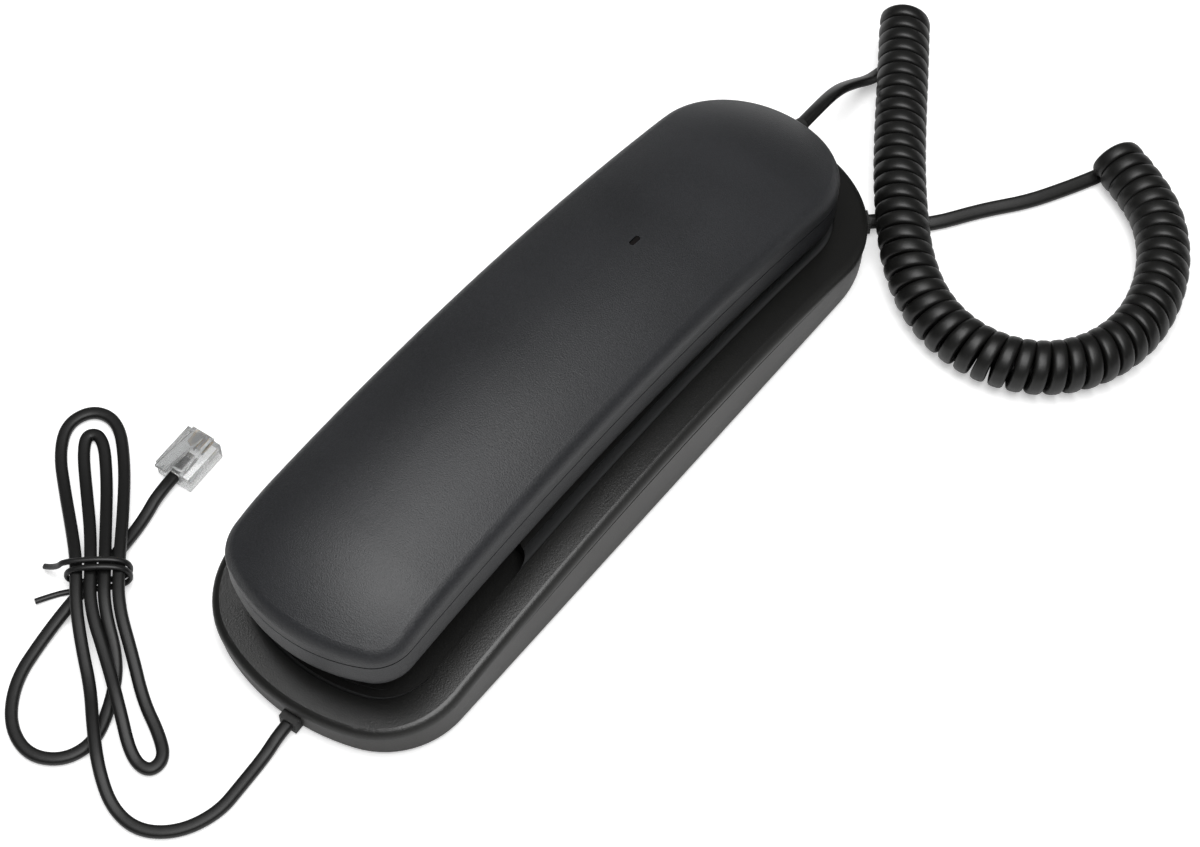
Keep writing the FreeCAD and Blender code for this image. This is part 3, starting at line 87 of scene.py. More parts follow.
# Line cord: lead from the base, the hank with its loops and folds, and the tail into the plug
LINE_ROUTE = [
    (3.7, -101.4, 2.8), (3.9, -104.8, 2.8), (4.4, -109.8, 1.4), (5.0, -117.6, 1.4),
    (5.6, -126.0, 1.4), (2.0, -134.6, 1.4), (-5.0, -139.8, 1.4), (-13.2, -139.4, 1.7),
    (-20.6, -135.2, 4.8), (-28.6, -128.6, 4.8), (-36.4, -121.6, 3.6), (-44.2, -116.0, 4.6),
    (-52.9, -108.9, 6.0), (-59.7, -101.6, 6.0), (-67.0, -95.8, 4.2), (-77.8, -87.8, 2.0),
    (-86.6, -80.8, 1.4), (-91.2, -73.6, 1.4), (-88.8, -66.8, 1.4), (-81.6, -65.8, 1.4),
    (-72.0, -73.8, 1.8), (-61.8, -84.6, 4.0), (-52.0, -95.8, 6.0), (-44.8, -103.5, 6.0),
    (-34.4, -110.2, 4.0), (-25.6, -116.4, 2.0), (-17.6, -120.0, 1.4), (-12.4, -123.6, 1.4),
    (-12.8, -128.2, 1.4), (-18.4, -128.0, 1.6), (-27.6, -121.4, 4.8), (-37.8, -114.8, 4.9),
    (-49.5, -107.8, 6.0), (-57.0, -99.8, 6.0), (-64.4, -92.6, 4.2), (-74.4, -84.2, 2.0),
    (-82.4, -77.2, 1.4), (-85.4, -72.8, 1.4), (-81.8, -71.0, 1.4), (-72.6, -79.2, 1.8),
    (-62.6, -89.4, 4.2), (-54.0, -98.3, 6.0), (-47.2, -105.7, 6.0), (-36.2, -113.0, 2.4),
    (-30.8, -121.6, 1.4), (-27.2, -130.0, 1.4), (-29.4, -137.6, 1.4), (-36.6, -141.6, 1.4),
    (-45.2, -138.6, 1.4), (-51.8, -130.0, 1.4), (-54.2, -119.4, 1.6), (-55.4, -108.4, 2.7),
    (-55.8, -97.6, 2.7), (-57.2, -88.0, 1.7), (-58.4, -81.4, 1.6), (-60.1, -74.6, 2.6),
    (-60.8, -63.9, 2.6),
]

# Twist tie: one end, two turns round the strands, the other end
TIE_ROUTE = [
    (-62.9, -112.8, 1.0), (-61.3, -109.4, 0.6), (-58.9, -106.0, 0.6), (-48.6, -95.8, 0.6),
    (-49.0, -95.4, 8.4), (-59.9, -104.9, 8.4), (-60.3, -104.6, 0.6), (-50.0, -94.3, 0.6),
    (-50.3, -94.0, 8.4), (-61.3, -103.5, 8.4), (-63.6, -104.5, 4.2), (-67.3, -105.1, 1.8),
]

# How finely each cord's line is drawn between its control points, and a coil's points in a turn
AXIS_STEPS = 24
COIL_STEPS = 4
CORD_STEPS = 10
POINTS_PER_TURN = 14

# An order 3 spline runs half a point behind its control points
SPLINE_ORDER = 3
SPLINE_LAG = 0.5

# Section of a cord's jacket and of the tie: points round it, how square its corners are, and the angle
# past which an edge stays sharp
JACKET_SIDES = 14
JACKET_SQUARENESS = 3.0
JACKET_CREASE = 50.0
TIE_SIDES = 10
TIE_SQUARENESS = 2.4

# The tie's width across its thickness, and the way that its width faces
TIE_FLATNESS = 1.3
TIE_WIDE = (0.68, -0.73, 0.1)

# Lean of the coil's leads up on edge
LEAD_LEAN = 0.35

# Rounded edges of the plug, and the angles that count as an edge
PLUG_EDGE = 0.25
PLUG_EDGE_ANGLE = 30.0
PLUG_CREASE = 35.0

# Points nearer than this are one point, and faces within this many degrees are one face
MERGE_DISTANCE = 0.001
FLAT_ANGLE = 1.0

# Arch of the base's rim: its radius, its height in the middle, the depth in which its finish begins, and
# how far a slope has to face the middle to count as the cradle's
ARCH_RADIUS = 513.0
RIM_TOP = 18.7
RIM_BLEND = 0.6
INWARD_LEAST = 1.0

# Keypad plane: its middle, its lean, how far the keys stand out of it, and each key's legend
KEYPAD_MIDDLE = (0.0, 12.0, 22.25)
KEYPAD_LEAN = 4.9
KEY_PROUD = 1.6
LEGEND_SIZE = 5.0
LEGEND_HALF_THICKNESS = 0.04
LEGEND_SUNK = 0.02
KEY_LEGENDS = {
    "key_1": "1", "key_2": "2", "key_3": "3", "key_4": "4", "key_5": "5", "key_6": "6",
    "key_7": "7", "key_8": "8", "key_9": "9", "key_star": "*", "key_0": "0", "key_hash": "#",
}

# Slow drifts of tone and gloss: their size on plastics and on metals, the part of their noise that is used,
# their share in a plastic's tone, where its two tones stand, and how far a metal's roughness drifts
PLASTIC_DRIFT = 40.0
METAL_DRIFT = 6.0
DRIFT_RANGE = (0.3, 0.7)
DRIFT_SHARE = 0.35
TONE_STOPS = (0.35, 0.65)
METAL_GLOSS_SPREAD = 0.08

# Floor of the stage, in metres: its size, and how far from the middle its white begins to rise and is full
FLOOR_SIZE = 6.0
FLOOR_WHITE_FROM = 0.35
FLOOR_WHITE_FULL = 0.9

# White that the floor adds near the phone, in glossy reflections and through the clear plug
FLOOR_WHITE_NEAR = 0.4
FLOOR_IN_GLOSS = 0.05
FLOOR_THROUGH_PLUG = 0.38

# Lamps and camera, in metres, and the camera sensor's width in millimetres
OVERHEAD_PLACE = (0.08, -0.06, 1.1)
OVERHEAD_SIZE = (0.7, 0.95)
FILL_PLACE = (0.6, -0.4, 1.1)
FILL_SIZE = (0.5, 0.5)
CAMERA_TARGET = (0.0076, 0.0048, 0.0)
CAMERA_NEAREST = 0.01
SENSOR_WIDTH = 36.0


def linear(text):
    """Linear colour of an sRGB hex value."""
    parts = [int(text[k:k + 2], 16) / 255 for k in (1, 3, 5)]
    parts = [c / 12.92 if c <= 0.04045 else ((c + 0.055) / 1.055) ** 2.4 for c in parts]
    return (*parts, 1.0)


class PhoneCordSizes(bpy.types.PropertyGroup):
    """Sizes of the two cords and the tie."""
    coil_width: bpy.props.FloatProperty(
        name="Coil cord width", description="Width of the coil cord's flat jacket",
        default=0.0037, min=0.001, max=0.006, unit="LENGTH")
    coil_height: bpy.props.FloatProperty(
        name="Coil cord height", description="Thickness of the coil cord's jacket",
        default=0.0025, min=0.001, max=0.006, unit="LENGTH")
    coil_outside: bpy.props.FloatProperty(
        name="Coil outside", description="Outside width of the coil",
        default=0.0131, min=0.008, max=0.03, unit="LENGTH")
    coil_turns: bpy.props.FloatProperty(
        name="Coil turns", description="Turns along the coil's axis",
        default=52.5, min=10.0, max=100.0, subtype="UNSIGNED")
    line_width: bpy.props.FloatProperty(
        name="Line cord width", description="Width of the flat line cord",
        default=0.0029, min=0.002, max=0.006, unit="LENGTH")
    line_height: bpy.props.FloatProperty(
        name="Line cord height", description="Thickness of the flat line cord",
        default=0.0021, min=0.001, max=0.004, unit="LENGTH")
    tie_wire: bpy.props.FloatProperty(
        name="Tie wire", description="Thickness of the twist tie",
        default=0.0011, min=0.0005, max=0.002, unit="LENGTH")


class PhoneColours(bpy.types.PropertyGroup):
    """Colours of the housings and the number keys, most of them as a dark and a light tone."""
    handset_dark: bpy.props.FloatVectorProperty(
        name="Handset dark", description="Dark tone of the handset's grain",
        default=linear("#161719"), size=4, min=0.0, max=1.0, subtype="COLOR")
    handset_light: bpy.props.FloatVectorProperty(
        name="Handset light", description="Light tone of the handset's grain",
        default=linear("#28292c"), size=4, min=0.0, max=1.0, subtype="COLOR")
    base_dark: bpy.props.FloatVectorProperty(
        name="Base dark", description="Dark tone of the grain on the base's walls",
        default=linear("#232221"), size=4, min=0.0, max=1.0, subtype="COLOR")
    base_light: bpy.props.FloatVectorProperty(
        name="Base light", description="Light tone of the grain on the base's walls",
        default=linear("#31302e"), size=4, min=0.0, max=1.0, subtype="COLOR")
    rim: bpy.props.FloatVectorProperty(
        name="Rim", description="Colour of the base's plain rim",
        default=linear("#111110"), size=4, min=0.0, max=1.0, subtype="COLOR")
    # Painted light: the cradle's slopes are the same black ABS as the rim, drawn mid grey to stand for light
    # that reaches them in the handset's shade
    cradle_slope_painted_light: bpy.props.FloatVectorProperty(
        name="Cradle slope", description="Colour of the etched slopes inside the cradle",
        default=linear("#545556"), size=4, min=0.0, max=1.0, subtype="COLOR")
    number_key_dark: bpy.props.FloatVectorProperty(
        name="Number key dark", description="Dark tone of the number keys",
        default=linear("#a9acac"), size=4, min=0.0, max=1.0, subtype="COLOR")
    number_key_light: bpy.props.FloatVectorProperty(
        name="Number key light", description="Light tone of the number keys",
        default=linear("#b6b8b8"), size=4, min=0.0, max=1.0, subtype="COLOR")


class PhoneStageSizes(bpy.types.PropertyGroup):
    """Camera and light."""
    azimuth: bpy.props.FloatProperty(
        name="Azimuth", description="Camera's turn about the upright",
        default=math.radians(38.05), subtype="ANGLE")
    elevation: bpy.props.FloatProperty(
        name="Elevation", description="Camera's angle above the floor",
        default=math.radians(56.3), subtype="ANGLE")
    distance: bpy.props.FloatProperty(
        name="Distance", description="Camera's distance from its target",
        default=0.625, unit="LENGTH")
    lens: bpy.props.FloatProperty(
        name="Lens", description="Focal length on a 36 mm sensor",
        default=79.03, unit="CAMERA")
    overhead_power: bpy.props.FloatProperty(
        name="Overhead power", description="Power of the broad lamp overhead",
        default=13.0, unit="POWER")
    fill_power: bpy.props.FloatProperty(
        name="Fill power", description="Power of the lamp on the camera's side",
        default=1.8, unit="POWER")
    room_light: bpy.props.FloatProperty(
        name="Room light", description="Strength of the even light from all round",
        default=0.14, min=0.0, max=1.0, subtype="FACTOR")


def deselect():
    bpy.ops.object.select_all(action="DESELECT")


def choose(obj):
    """Make one object the only selected and the active one."""
    deselect()
    obj.select_set(True)
    bpy.context.view_layer.objects.active = obj


def add_node(tree, kind, values=None, links=None, **settings):
    """Add a shader node with its settings, its input values and its links."""
    node = tree.nodes.new(kind)
    for name, value in settings.items():
        setattr(node, name, value)
    for name, value in (values or {}).items():
        node.inputs[name].default_value = value
    for name, socket in (links or {}).items():
        tree.links.new(socket, node.inputs[name])
    return node


def start_material(name):
    """A new material with its shader, and the Object coordinates that its patterns read."""
    material = bpy.data.materials.new(name)
    material.use_nodes = True
    tree = material.node_tree
    tree.nodes.clear()
    shader = add_node(tree, "ShaderNodeBsdfPrincipled")
    add_node(tree, "ShaderNodeOutputMaterial", links={"Surface": shader.outputs["BSDF"]})
    place = add_node(tree, "ShaderNodeTexCoord").outputs["Object"]
    return material, tree, shader, place


def moulded(name, dark, light, rough, grain, depth, ior=1.5):
    """A moulded surface: a grain of a size and a depth in mm, with slow drifts of tone and gloss."""
    material, tree, shader, place = start_material(name)
    grit = add_node(tree, "ShaderNodeTexNoise", {"Scale": 1 / (grain * MM), "Detail": 3.0, "Roughness": 0.6},
                    {"Vector": place})
    drift = add_node(tree, "ShaderNodeTexNoise", {"Scale": 1 / (PLASTIC_DRIFT * MM), "Detail": 2.0},
                     {"Vector": place})
    tone = add_node(tree, "ShaderNodeMix", {"Factor": DRIFT_SHARE},
                    {6: grit.outputs["Fac"], 7: drift.outputs["Fac"]}, data_type="RGBA")
    ramp = add_node(tree, "ShaderNodeValToRGB", links={"Fac": tone.outputs[2]})
    for stop, position, colour in zip(ramp.color_ramp.elements, TONE_STOPS, (dark, light)):
        stop.position = position
        stop.color = colour
    gloss = add_node(tree, "ShaderNodeMapRange",
                     {"From Min": DRIFT_RANGE[0], "From Max": DRIFT_RANGE[1],
                      "To Min": rough[0], "To Max": rough[1]},
                     {"Value": drift.outputs["Fac"]})
    bump = add_node(tree, "ShaderNodeBump", {"Strength": 1.0, "Distance": depth * MM},
                    {"Height": grit.outputs["Fac"]})
    tree.links.new(ramp.outputs["Color"], shader.inputs["Base Color"])
    tree.links.new(gloss.outputs["Result"], shader.inputs["Roughness"])
    tree.links.new(bump.outputs["Normal"], shader.inputs["Normal"])
    shader.inputs["IOR"].default_value = ior
    return material


def plated(name, colour, rough):
    """A metal of one colour, with a slow drift of gloss."""
    material, tree, shader, place = start_material(name)
    drift = add_node(tree, "ShaderNodeTexNoise", {"Scale": 1 / (METAL_DRIFT * MM), "Detail": 2.0},
                     {"Vector": place})
    gloss = add_node(tree, "ShaderNodeMapRange",
                     {"From Min": DRIFT_RANGE[0], "From Max": DRIFT_RANGE[1],
                      "To Min": rough, "To Max": rough + METAL_GLOSS_SPREAD},
                     {"Value": drift.outputs["Fac"]})
    tree.links.new(gloss.outputs["Result"], shader.inputs["Roughness"])
    shader.inputs["Base Color"].default_value = linear(colour)
    shader.inputs["Metallic"].default_value = 1.0
    return material


def cradle_finish(material, rim_colour, rim_rough, slope_painted_light):
    """Two zones on the upper shell: a plain rim on top of its arch, and etched slopes that face inward, drawn
    pale as painted light.
    """
    tree = material.node_tree
    shader = tree.nodes["Principled BSDF"]
    place = tree.nodes["Texture Coordinate"].outputs["Object"]
    facing = add_node(tree, "ShaderNodeNewGeometry").outputs["True Normal"]
    flat = add_node(tree, "ShaderNodeVectorMath", {1: (1, 1, 0)}, {0: facing}, operation="MULTIPLY")
    outward = add_node(tree, "ShaderNodeVectorMath", links={0: flat.outputs[0], 1: place},
                       operation="DOT_PRODUCT")
    inward = add_node(tree, "ShaderNodeMath", {1: -INWARD_LEAST * MM}, {0: outward.outputs["Value"]},
                      operation="LESS_THAN")
    upright = add_node(tree, "ShaderNodeVectorMath",
                       {1: (0, 1, 1), 2: (0, 0, (ARCH_RADIUS - RIM_TOP) * MM)},
                       {0: place}, operation="MULTIPLY_ADD")
    height = add_node(tree, "ShaderNodeVectorMath", links={0: upright.outputs[0]}, operation="LENGTH")
    rim = add_node(tree, "ShaderNodeMapRange",
                   {"From Min": (ARCH_RADIUS - RIM_BLEND) * MM, "From Max": ARCH_RADIUS * MM},
                   {"Value": height.outputs["Value"]})
    colour = shader.inputs["Base Color"].links[0].from_socket
    gloss = shader.inputs["Roughness"].links[0].from_socket
    # Painted light: the slopes that face the middle take a pale grey in place of the shell's own black tones
    etched = add_node(tree, "ShaderNodeMix", {7: slope_painted_light}, {0: inward.outputs[0], 6: colour},
                      data_type="RGBA")
    plain = add_node(tree, "ShaderNodeMix", {7: rim_colour}, {0: rim.outputs[0], 6: etched.outputs[2]},
                     data_type="RGBA")
    glossy = add_node(tree, "ShaderNodeMix", {3: rim_rough}, {0: rim.outputs[0], 2: gloss}, data_type="FLOAT")
    tree.links.new(plain.outputs[2], shader.inputs["Base Color"])
    tree.links.new(glossy.outputs[0], shader.inputs["Roughness"])


def clear_polycarbonate():
    """Water-white clear plastic with a slight ripple from the mould."""
    material, tree, shader, place = start_material("clear_polycarbonate")
    ripple = add_node(tree, "ShaderNodeTexNoise", {"Scale": 1 / (2.5 * MM), "Detail": 1.0}, {"Vector": place})
    bump = add_node(tree, "ShaderNodeBump", {"Strength": 0.5, "Distance": 0.02 * MM},
                    {"Height": ripple.outputs["Fac"]})
    tree.links.new(bump.outputs["Normal"], shader.inputs["Normal"])
    shader.inputs["Base Color"].default_value = linear("#dcdddd")
    shader.inputs["Roughness"].default_value = 0.06
    shader.inputs["IOR"].default_value = 1.45
    shader.inputs["Transmission Weight"].default_value = 0.82
    return material


# Finishes by material slot, filled by make_materials
MATERIALS = {}


def make_materials(colours):
    """Every finish of the phone, each named for what the real one is."""
    # Black ABS from a spark-eroded mould: a fine matt sparkle under a broad soft sheen, with its grain
    # drawn coarser than a real one so that it shows
    MATERIALS["handset_plastic"] = moulded("spark_eroded_black_abs", colours.handset_dark,
                                           colours.handset_light, (0.4, 0.48), 0.34, 0.085)
    # Black ABS with a shallower etched grain: an even, dull sheen along the walls
    MATERIALS["base_plastic"] = moulded("etched_black_abs", colours.base_dark, colours.base_light,
                                        (0.46, 0.54), 0.42, 0.04)
    # The same on the upper shell: a smoother, darker rim, and etched slopes inside the cradle drawn paler as
    # painted light in the handset's shade
    upper = moulded("etched_black_abs_rim", linear("#1c1c1b"), linear("#272726"), (0.44, 0.52), 0.42, 0.04)
    cradle_finish(upper, colours.rim, 0.3, colours.cradle_slope_painted_light)
    MATERIALS["base_rim"] = upper
    # Plain black ABS: small smooth pieces with a low gloss
    MATERIALS["dark_plastic"] = moulded("plain_black_abs", linear("#18191a"), linear("#212223"),
                                        (0.38, 0.46), 0.4, 0.02)
    # Pale grey ABS: a light satin that stands out from the panel
    MATERIALS["number_key"] = moulded("pale_grey_abs_key", colours.number_key_dark, colours.number_key_light,
                                      (0.45, 0.55), 0.4, 0.02)
    # Dark grey ABS: a satin between the panel and the number keys
    MATERIALS["function_key"] = moulded("dark_grey_abs_key", linear("#5c5f62"), linear("#686b6e"),
                                        (0.45, 0.55), 0.4, 0.02)
    # Soft black rubber: dull, with hardly any highlight
    MATERIALS["rubber"] = moulded("black_soft_rubber", linear("#1d1d1c"), linear("#282827"),
                                  (0.55, 0.65), 0.6, 0.03)
    # Moulded grey silicone: a dull, waxy sheet
    MATERIALS["silicone"] = moulded("grey_silicone", linear("#9a9d9d"), linear("#a6a8a8"),
                                    (0.55, 0.7), 0.8, 0.02)
    # Extruded black PVC on the coil: smooth and semi-gloss, so each turn has a narrow light line
    MATERIALS["coil_cord_vinyl"] = moulded("coiled_black_pvc", linear("#0c0c0b"), linear("#131312"),
                                           (0.38, 0.46), 1.2, 0.02, 1.45)
    # Extruded black PVC on the flat line cord: a little duller, with a faint waviness
    MATERIALS["line_cord_vinyl"] = moulded("flat_black_pvc", linear("#0b0b0b"), linear("#111110"),
                                           (0.42, 0.5), 1.2, 0.02, 1.42)
    # Wire in a black plastic coat: a dark strip with a soft gloss
    MATERIALS["tie_paper"] = moulded("black_coated_tie", linear("#0b0b0b"), linear("#121212"),
                                     (0.4, 0.5), 0.8, 0.02)
    # Smoked acrylic: nearly black, with a small sharp highlight
    MATERIALS["light_guide"] = moulded("smoked_acrylic", linear("#0a0808"), linear("#120e0e"),
                                       (0.12, 0.18), 1.0, 0.005, 1.49)
    # Green solder mask: a glossy lacquer with a slight mottle
    MATERIALS["circuit_board"] = moulded("green_solder_mask", linear("#0c3f1e"), linear("#14572b"),
                                         (0.3, 0.4), 1.5, 0.02)
    # Moulded black case of a sounder: plain and half matt
    MATERIALS["sounder"] = moulded("moulded_black_case", linear("#161616"), linear("#202020"),
                                   (0.4, 0.5), 0.5, 0.02)
    # Black ink pad-printed on the keys: flat and dull beside their satin
    MATERIALS["key_print"] = moulded("black_pad_print", linear("#141516"), linear("#1b1c1d"),
                                     (0.5, 0.6), 0.3, 0.005)
    # Zinc-plated steel: a grey metal, bright but not a mirror
    MATERIALS["steel"] = plated("zinc_plated_steel", "#b9b9b6", 0.35)
    # Drawn aluminium: a paler and smoother can
    MATERIALS["aluminium_can"] = plated("drawn_aluminium", "#c6c7c8", 0.3)
    # Gold-plated bronze: thin warm glints inside the plug
    MATERIALS["gold_contact"] = plated("gold_plated_bronze", "#d9b25e", 0.22)
    # Clear polycarbonate: pale and see-through, with bright edges
    MATERIALS["clear_plastic"] = clear_polycarbonate()


def wear(obj, slot):
    """Give a piece the one finish of a material slot."""
    obj.data.materials.clear()
    obj.data.materials.append(MATERIALS[slot])


def in_metres(points):
    return [Vector(p) * MM for p in points]


def length_of(points):
    return sum((b - a).length for a, b in zip(points, points[1:]))


def smooth_line(name, points, resolution):
    """Points of a smooth NURBS line that has the route's points, in metres, as its control points."""
    data = bpy.data.curves.new(name, "CURVE")
    data.dimensions = "3D"
    spline = data.splines.new("NURBS")
    spline.points.add(len(points) - 1)
    for point, place in zip(spline.points, points):
        point.co = (*place, 1.0)
    spline.order_u = SPLINE_ORDER
    spline.use_endpoint_u = True
    spline.resolution_u = resolution
    data.resolution_u = resolution
    obj = bpy.data.objects.new(name, data)
    bpy.context.collection.objects.link(obj)
    mesh = bpy.data.meshes.new_from_object(obj)
    line = [v.co.copy() for v in mesh.vertices]
    bpy.data.meshes.remove(mesh)
    bpy.data.objects.remove(obj)
    return line


def along_spline(values, resolution, count):
    """Directions given at a spline's control points, carried to the points that its line is drawn with."""
    found = []
    for k in range(count):
        t = min(k / resolution + SPLINE_LAG, len(values) - 1.001)
        i = int(t)
        found.append(values[i].lerp(values[i + 1], t - i))
    return found


def flat_wides(route, lean):
    """Directions across a flat cord that lies on its route, leaning up by the given share."""
    found = []
    for k in range(len(route)):
        way = route[min(k + 1, len(route) - 1)] - route[max(k - 1, 0)]
        across = way.cross(Vector((0, 0, 1))).normalized()
        found.append(across * (1 - lean) + Vector((0, 0, lean)))
    return found


def helix(axis_points, turns, radius, per_turn):
    """Control points of a helix about a line, evenly along it, and the line's direction at each."""
    total = length_of(axis_points)
    count = int(round(turns * per_turn))
    places = []
    ways = []
    index = 0
    travelled = 0.0
    for k in range(count + 1):
        wanted = total * k / count
        step = (axis_points[index + 1] - axis_points[index]).length
        while index < len(axis_points) - 2 and travelled + step < wanted:
            travelled += step
            index += 1
            step = (axis_points[index + 1] - axis_points[index]).length
        way = (axis_points[index + 1] - axis_points[index]).normalized()
        centre = axis_points[index] + way * (wanted - travelled)
        across = way.cross(Vector((0, 0, 1))).normalized()
        rise = across.cross(way).normalized()
        angle = 2 * math.pi * turns * k / count
        places.append(centre + across * (radius * math.cos(angle)) + rise * (radius * math.sin(angle)))
        ways.append(way)
    return places, ways


def rounded_section(width, height, sides, squareness):
    """Points round an oblong with rounded corners."""
    section = []
    for k in range(sides):
        angle = 2 * math.pi * k / sides
        c, s = math.cos(angle), math.sin(angle)
        x = 0.5 * width * math.copysign(abs(c) ** (2 / squareness), c)
        y = 0.5 * height * math.copysign(abs(s) ** (2 / squareness), s)
        section.append((x, y))
    return section


def sweep(name, path, wides, width, height, sides=JACKET_SIDES, squareness=JACKET_SQUARENESS):
    """A flat jacket along a path: a rounded oblong section, its width turned along the given directions."""
    section = rounded_section(width, height, sides, squareness)
    points = []
    for k, place in enumerate(path):
        way = (path[min(k + 1, len(path) - 1)] - path[max(k - 1, 0)]).normalized()
        wide = (wides[k] - way * wides[k].dot(way)).normalized()
        high = way.cross(wide)
        points += [place + wide * x + high * y for x, y in section]
    faces = [tuple(range(sides)), tuple(reversed(range(len(points) - sides, len(points))))]
    for k in range(len(path) - 1):
        for m in range(sides):
            n = (m + 1) % sides
            faces.append((k * sides + m, (k + 1) * sides + m, (k + 1) * sides + n, k * sides + n))
    mesh = bpy.data.meshes.new(name)
    mesh.from_pydata(points, [], faces)
    obj = bpy.data.objects.new(name, mesh)
    bpy.context.collection.objects.link(obj)
    choose(obj)
    bpy.ops.object.mode_set(mode="EDIT")
    bpy.ops.mesh.select_all(action="SELECT")
    bpy.ops.mesh.normals_make_consistent(inside=False)
    bpy.ops.object.mode_set(mode="OBJECT")
    bpy.ops.object.shade_smooth_by_angle(angle=math.radians(JACKET_CREASE))
    return obj


def merged_copy(node, name):
    """A copy of a CAD node's mesh with its triangles joined and its flat faces whole again."""
    obj = bpy.data.objects.new(name, frame["nodes"][node].data.copy())
    bpy.context.collection.objects.link(obj)
    choose(obj)
    bpy.ops.object.mode_set(mode="EDIT")
    bpy.ops.mesh.select_all(action="SELECT")
    bpy.ops.mesh.remove_doubles(threshold=MERGE_DISTANCE * MM)
    bpy.ops.mesh.dissolve_limited(angle_limit=math.radians(FLAT_ANGLE))
    bpy.ops.object.mode_set(mode="OBJECT")
    return obj


class PHONE_OT_finishes(bpy.types.Operator):
    """Finishes of the solids that show as they are"""
    bl_idname = "phone.finishes"
    bl_label = "Finishes"

    def execute(self, context):
        make_materials(context.scene.phone_colours)
        for entry in frame["record"]["subparts"]:
            wear(frame["nodes"][entry["node"]], entry["material_slot"])
        wear(frame["nodes"]["base_upper_shell"], "base_rim")
        return {"FINISHED"}


class PHONE_OT_coil_cord(bpy.types.Operator):
    """Curly cord from the base to the handset"""
    bl_idname = "phone.coil_cord"
    bl_label = "Coil Cord"

    def execute(self, context):
        sizes = context.scene.phone_cords
        axis_points = smooth_line("coil_axis", in_metres(COIL_AXIS), AXIS_STEPS)
        # The spline cuts inside its control points, so they stand out by what it cuts
        radius = 0.5 * (sizes.coil_outside - sizes.coil_height) / math.cos(math.pi / POINTS_PER_TURN)
        turns, ways = helix(axis_points, sizes.coil_turns, radius, POINTS_PER_TURN)
        head = in_metres(HANDSET_LEAD)
        tail = list(reversed(in_metres(BASE_LEAD)))
        route = head + turns + tail
        wides = [-w for w in flat_wides(head, LEAD_LEAN)] + ways + [-w for w in flat_wides(tail, LEAD_LEAN)]
        route.reverse()
        wides.reverse()
        path = smooth_line("coil_line", route, COIL_STEPS)
        wides = along_spline(wides, COIL_STEPS, len(path))
        cord = sweep("coil_cord_piece", path, wides, sizes.coil_width, sizes.coil_height)
        wear(cord, "coil_cord_vinyl")
        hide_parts("coil_cord", "coil_cord_handset_lead", "coil_cord_base_lead")
        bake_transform(cord)
        return {"FINISHED"}


class PHONE_OT_twist_tie(bpy.types.Operator):
    """Twist tie round the line cord's hank"""
    bl_idname = "phone.twist_tie"
    bl_label = "Twist Tie"

    def execute(self, context):
        wire = context.scene.phone_cords.tie_wire
        path = smooth_line("tie_line", in_metres(TIE_ROUTE), CORD_STEPS)
        wides = [Vector(TIE_WIDE)] * len(path)
        tie = sweep("twist_tie_piece", path, wides, wire * TIE_FLATNESS, wire, TIE_SIDES, TIE_SQUARENESS)
        wear(tie, "tie_paper")
        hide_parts("twist_tie")
        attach(tie, "base")
        return {"FINISHED"}


class PHONE_OT_line_plug(bpy.types.Operator):
    """Clear modular plug on the line cord's end"""
    bl_idname = "phone.line_plug"
    bl_label = "Line Plug"

    def execute(self, context):
        plug = merged_copy("line_plug", "line_plug_clear")
        bevel = plug.modifiers.new("edges", "BEVEL")
        bevel.width = PLUG_EDGE * MM
        bevel.segments = 2
        bevel.limit_method = "ANGLE"
        bevel.angle_limit = math.radians(PLUG_EDGE_ANGLE)
        choose(plug)
        bpy.ops.object.modifier_apply(modifier="edges")
        bpy.ops.object.shade_smooth_by_angle(angle=math.radians(PLUG_CREASE))
        wear(plug, "clear_plastic")
        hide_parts("line_plug")
        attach(plug, "base")
        return {"FINISHED"}


class PHONE_OT_line_cord(bpy.types.Operator):
    """Flat line cord, tied in a hank, from the base to its plug"""
    bl_idname = "phone.line_cord"
    bl_label = "Line Cord"

    def execute(self, context):
        sizes = context.scene.phone_cords
        route = in_metres(LINE_ROUTE)
        path = smooth_line("line_cord_line", route, CORD_STEPS)
        wides = along_spline(flat_wides(route, 0.0), CORD_STEPS, len(path))
        cord = sweep("line_cord_piece", path, wides, sizes.line_width, sizes.line_height)
        wear(cord, "line_cord_vinyl")
        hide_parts("line_cord_lead", "line_cord_hank", "line_cord_tail")
        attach(cord, "base")
        return {"FINISHED"}


class PHONE_OT_key_legends(bpy.types.Operator):
    """Printed numbers on the keys"""
    bl_idname = "phone.key_legends"
    bl_label = "Key Legends"

    def execute(self, context):
        lean = Matrix.Rotation(-math.radians(KEYPAD_LEAN), 4, "X")
        middle = Matrix.Translation(Vector(KEYPAD_MIDDLE) * MM)
        face_down = Matrix.Rotation(math.pi, 4, "X")
        for key, legend in KEY_LEGENDS.items():
            low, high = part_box(key)
            x = 0.5 * (low[0] + high[0])
            y = (0.5 * (low[1] + high[1]) - KEYPAD_MIDDLE[1] * MM) / math.cos(math.radians(KEYPAD_LEAN))
            face = Matrix.Translation((x, y, -(KEY_PROUD - LEGEND_SUNK) * MM))
            deselect()
            bpy.ops.object.text_add()
            text = context.active_object
            text.name = "legend_" + key
            text.data.body = legend
            text.data.size = LEGEND_SIZE * MM
            text.data.extrude = LEGEND_HALF_THICKNESS * MM
            text.data.align_x = "CENTER"
            text.data.align_y = "CENTER"
            bpy.ops.object.convert(target="MESH")
            print_piece = context.active_object
            print_piece.matrix_world = middle @ lean @ face @ face_down
            bpy.ops.object.transform_apply(location=True, rotation=True, scale=True)
            wear(print_piece, "key_print")
            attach(print_piece, key)
        return {"FINISHED"}


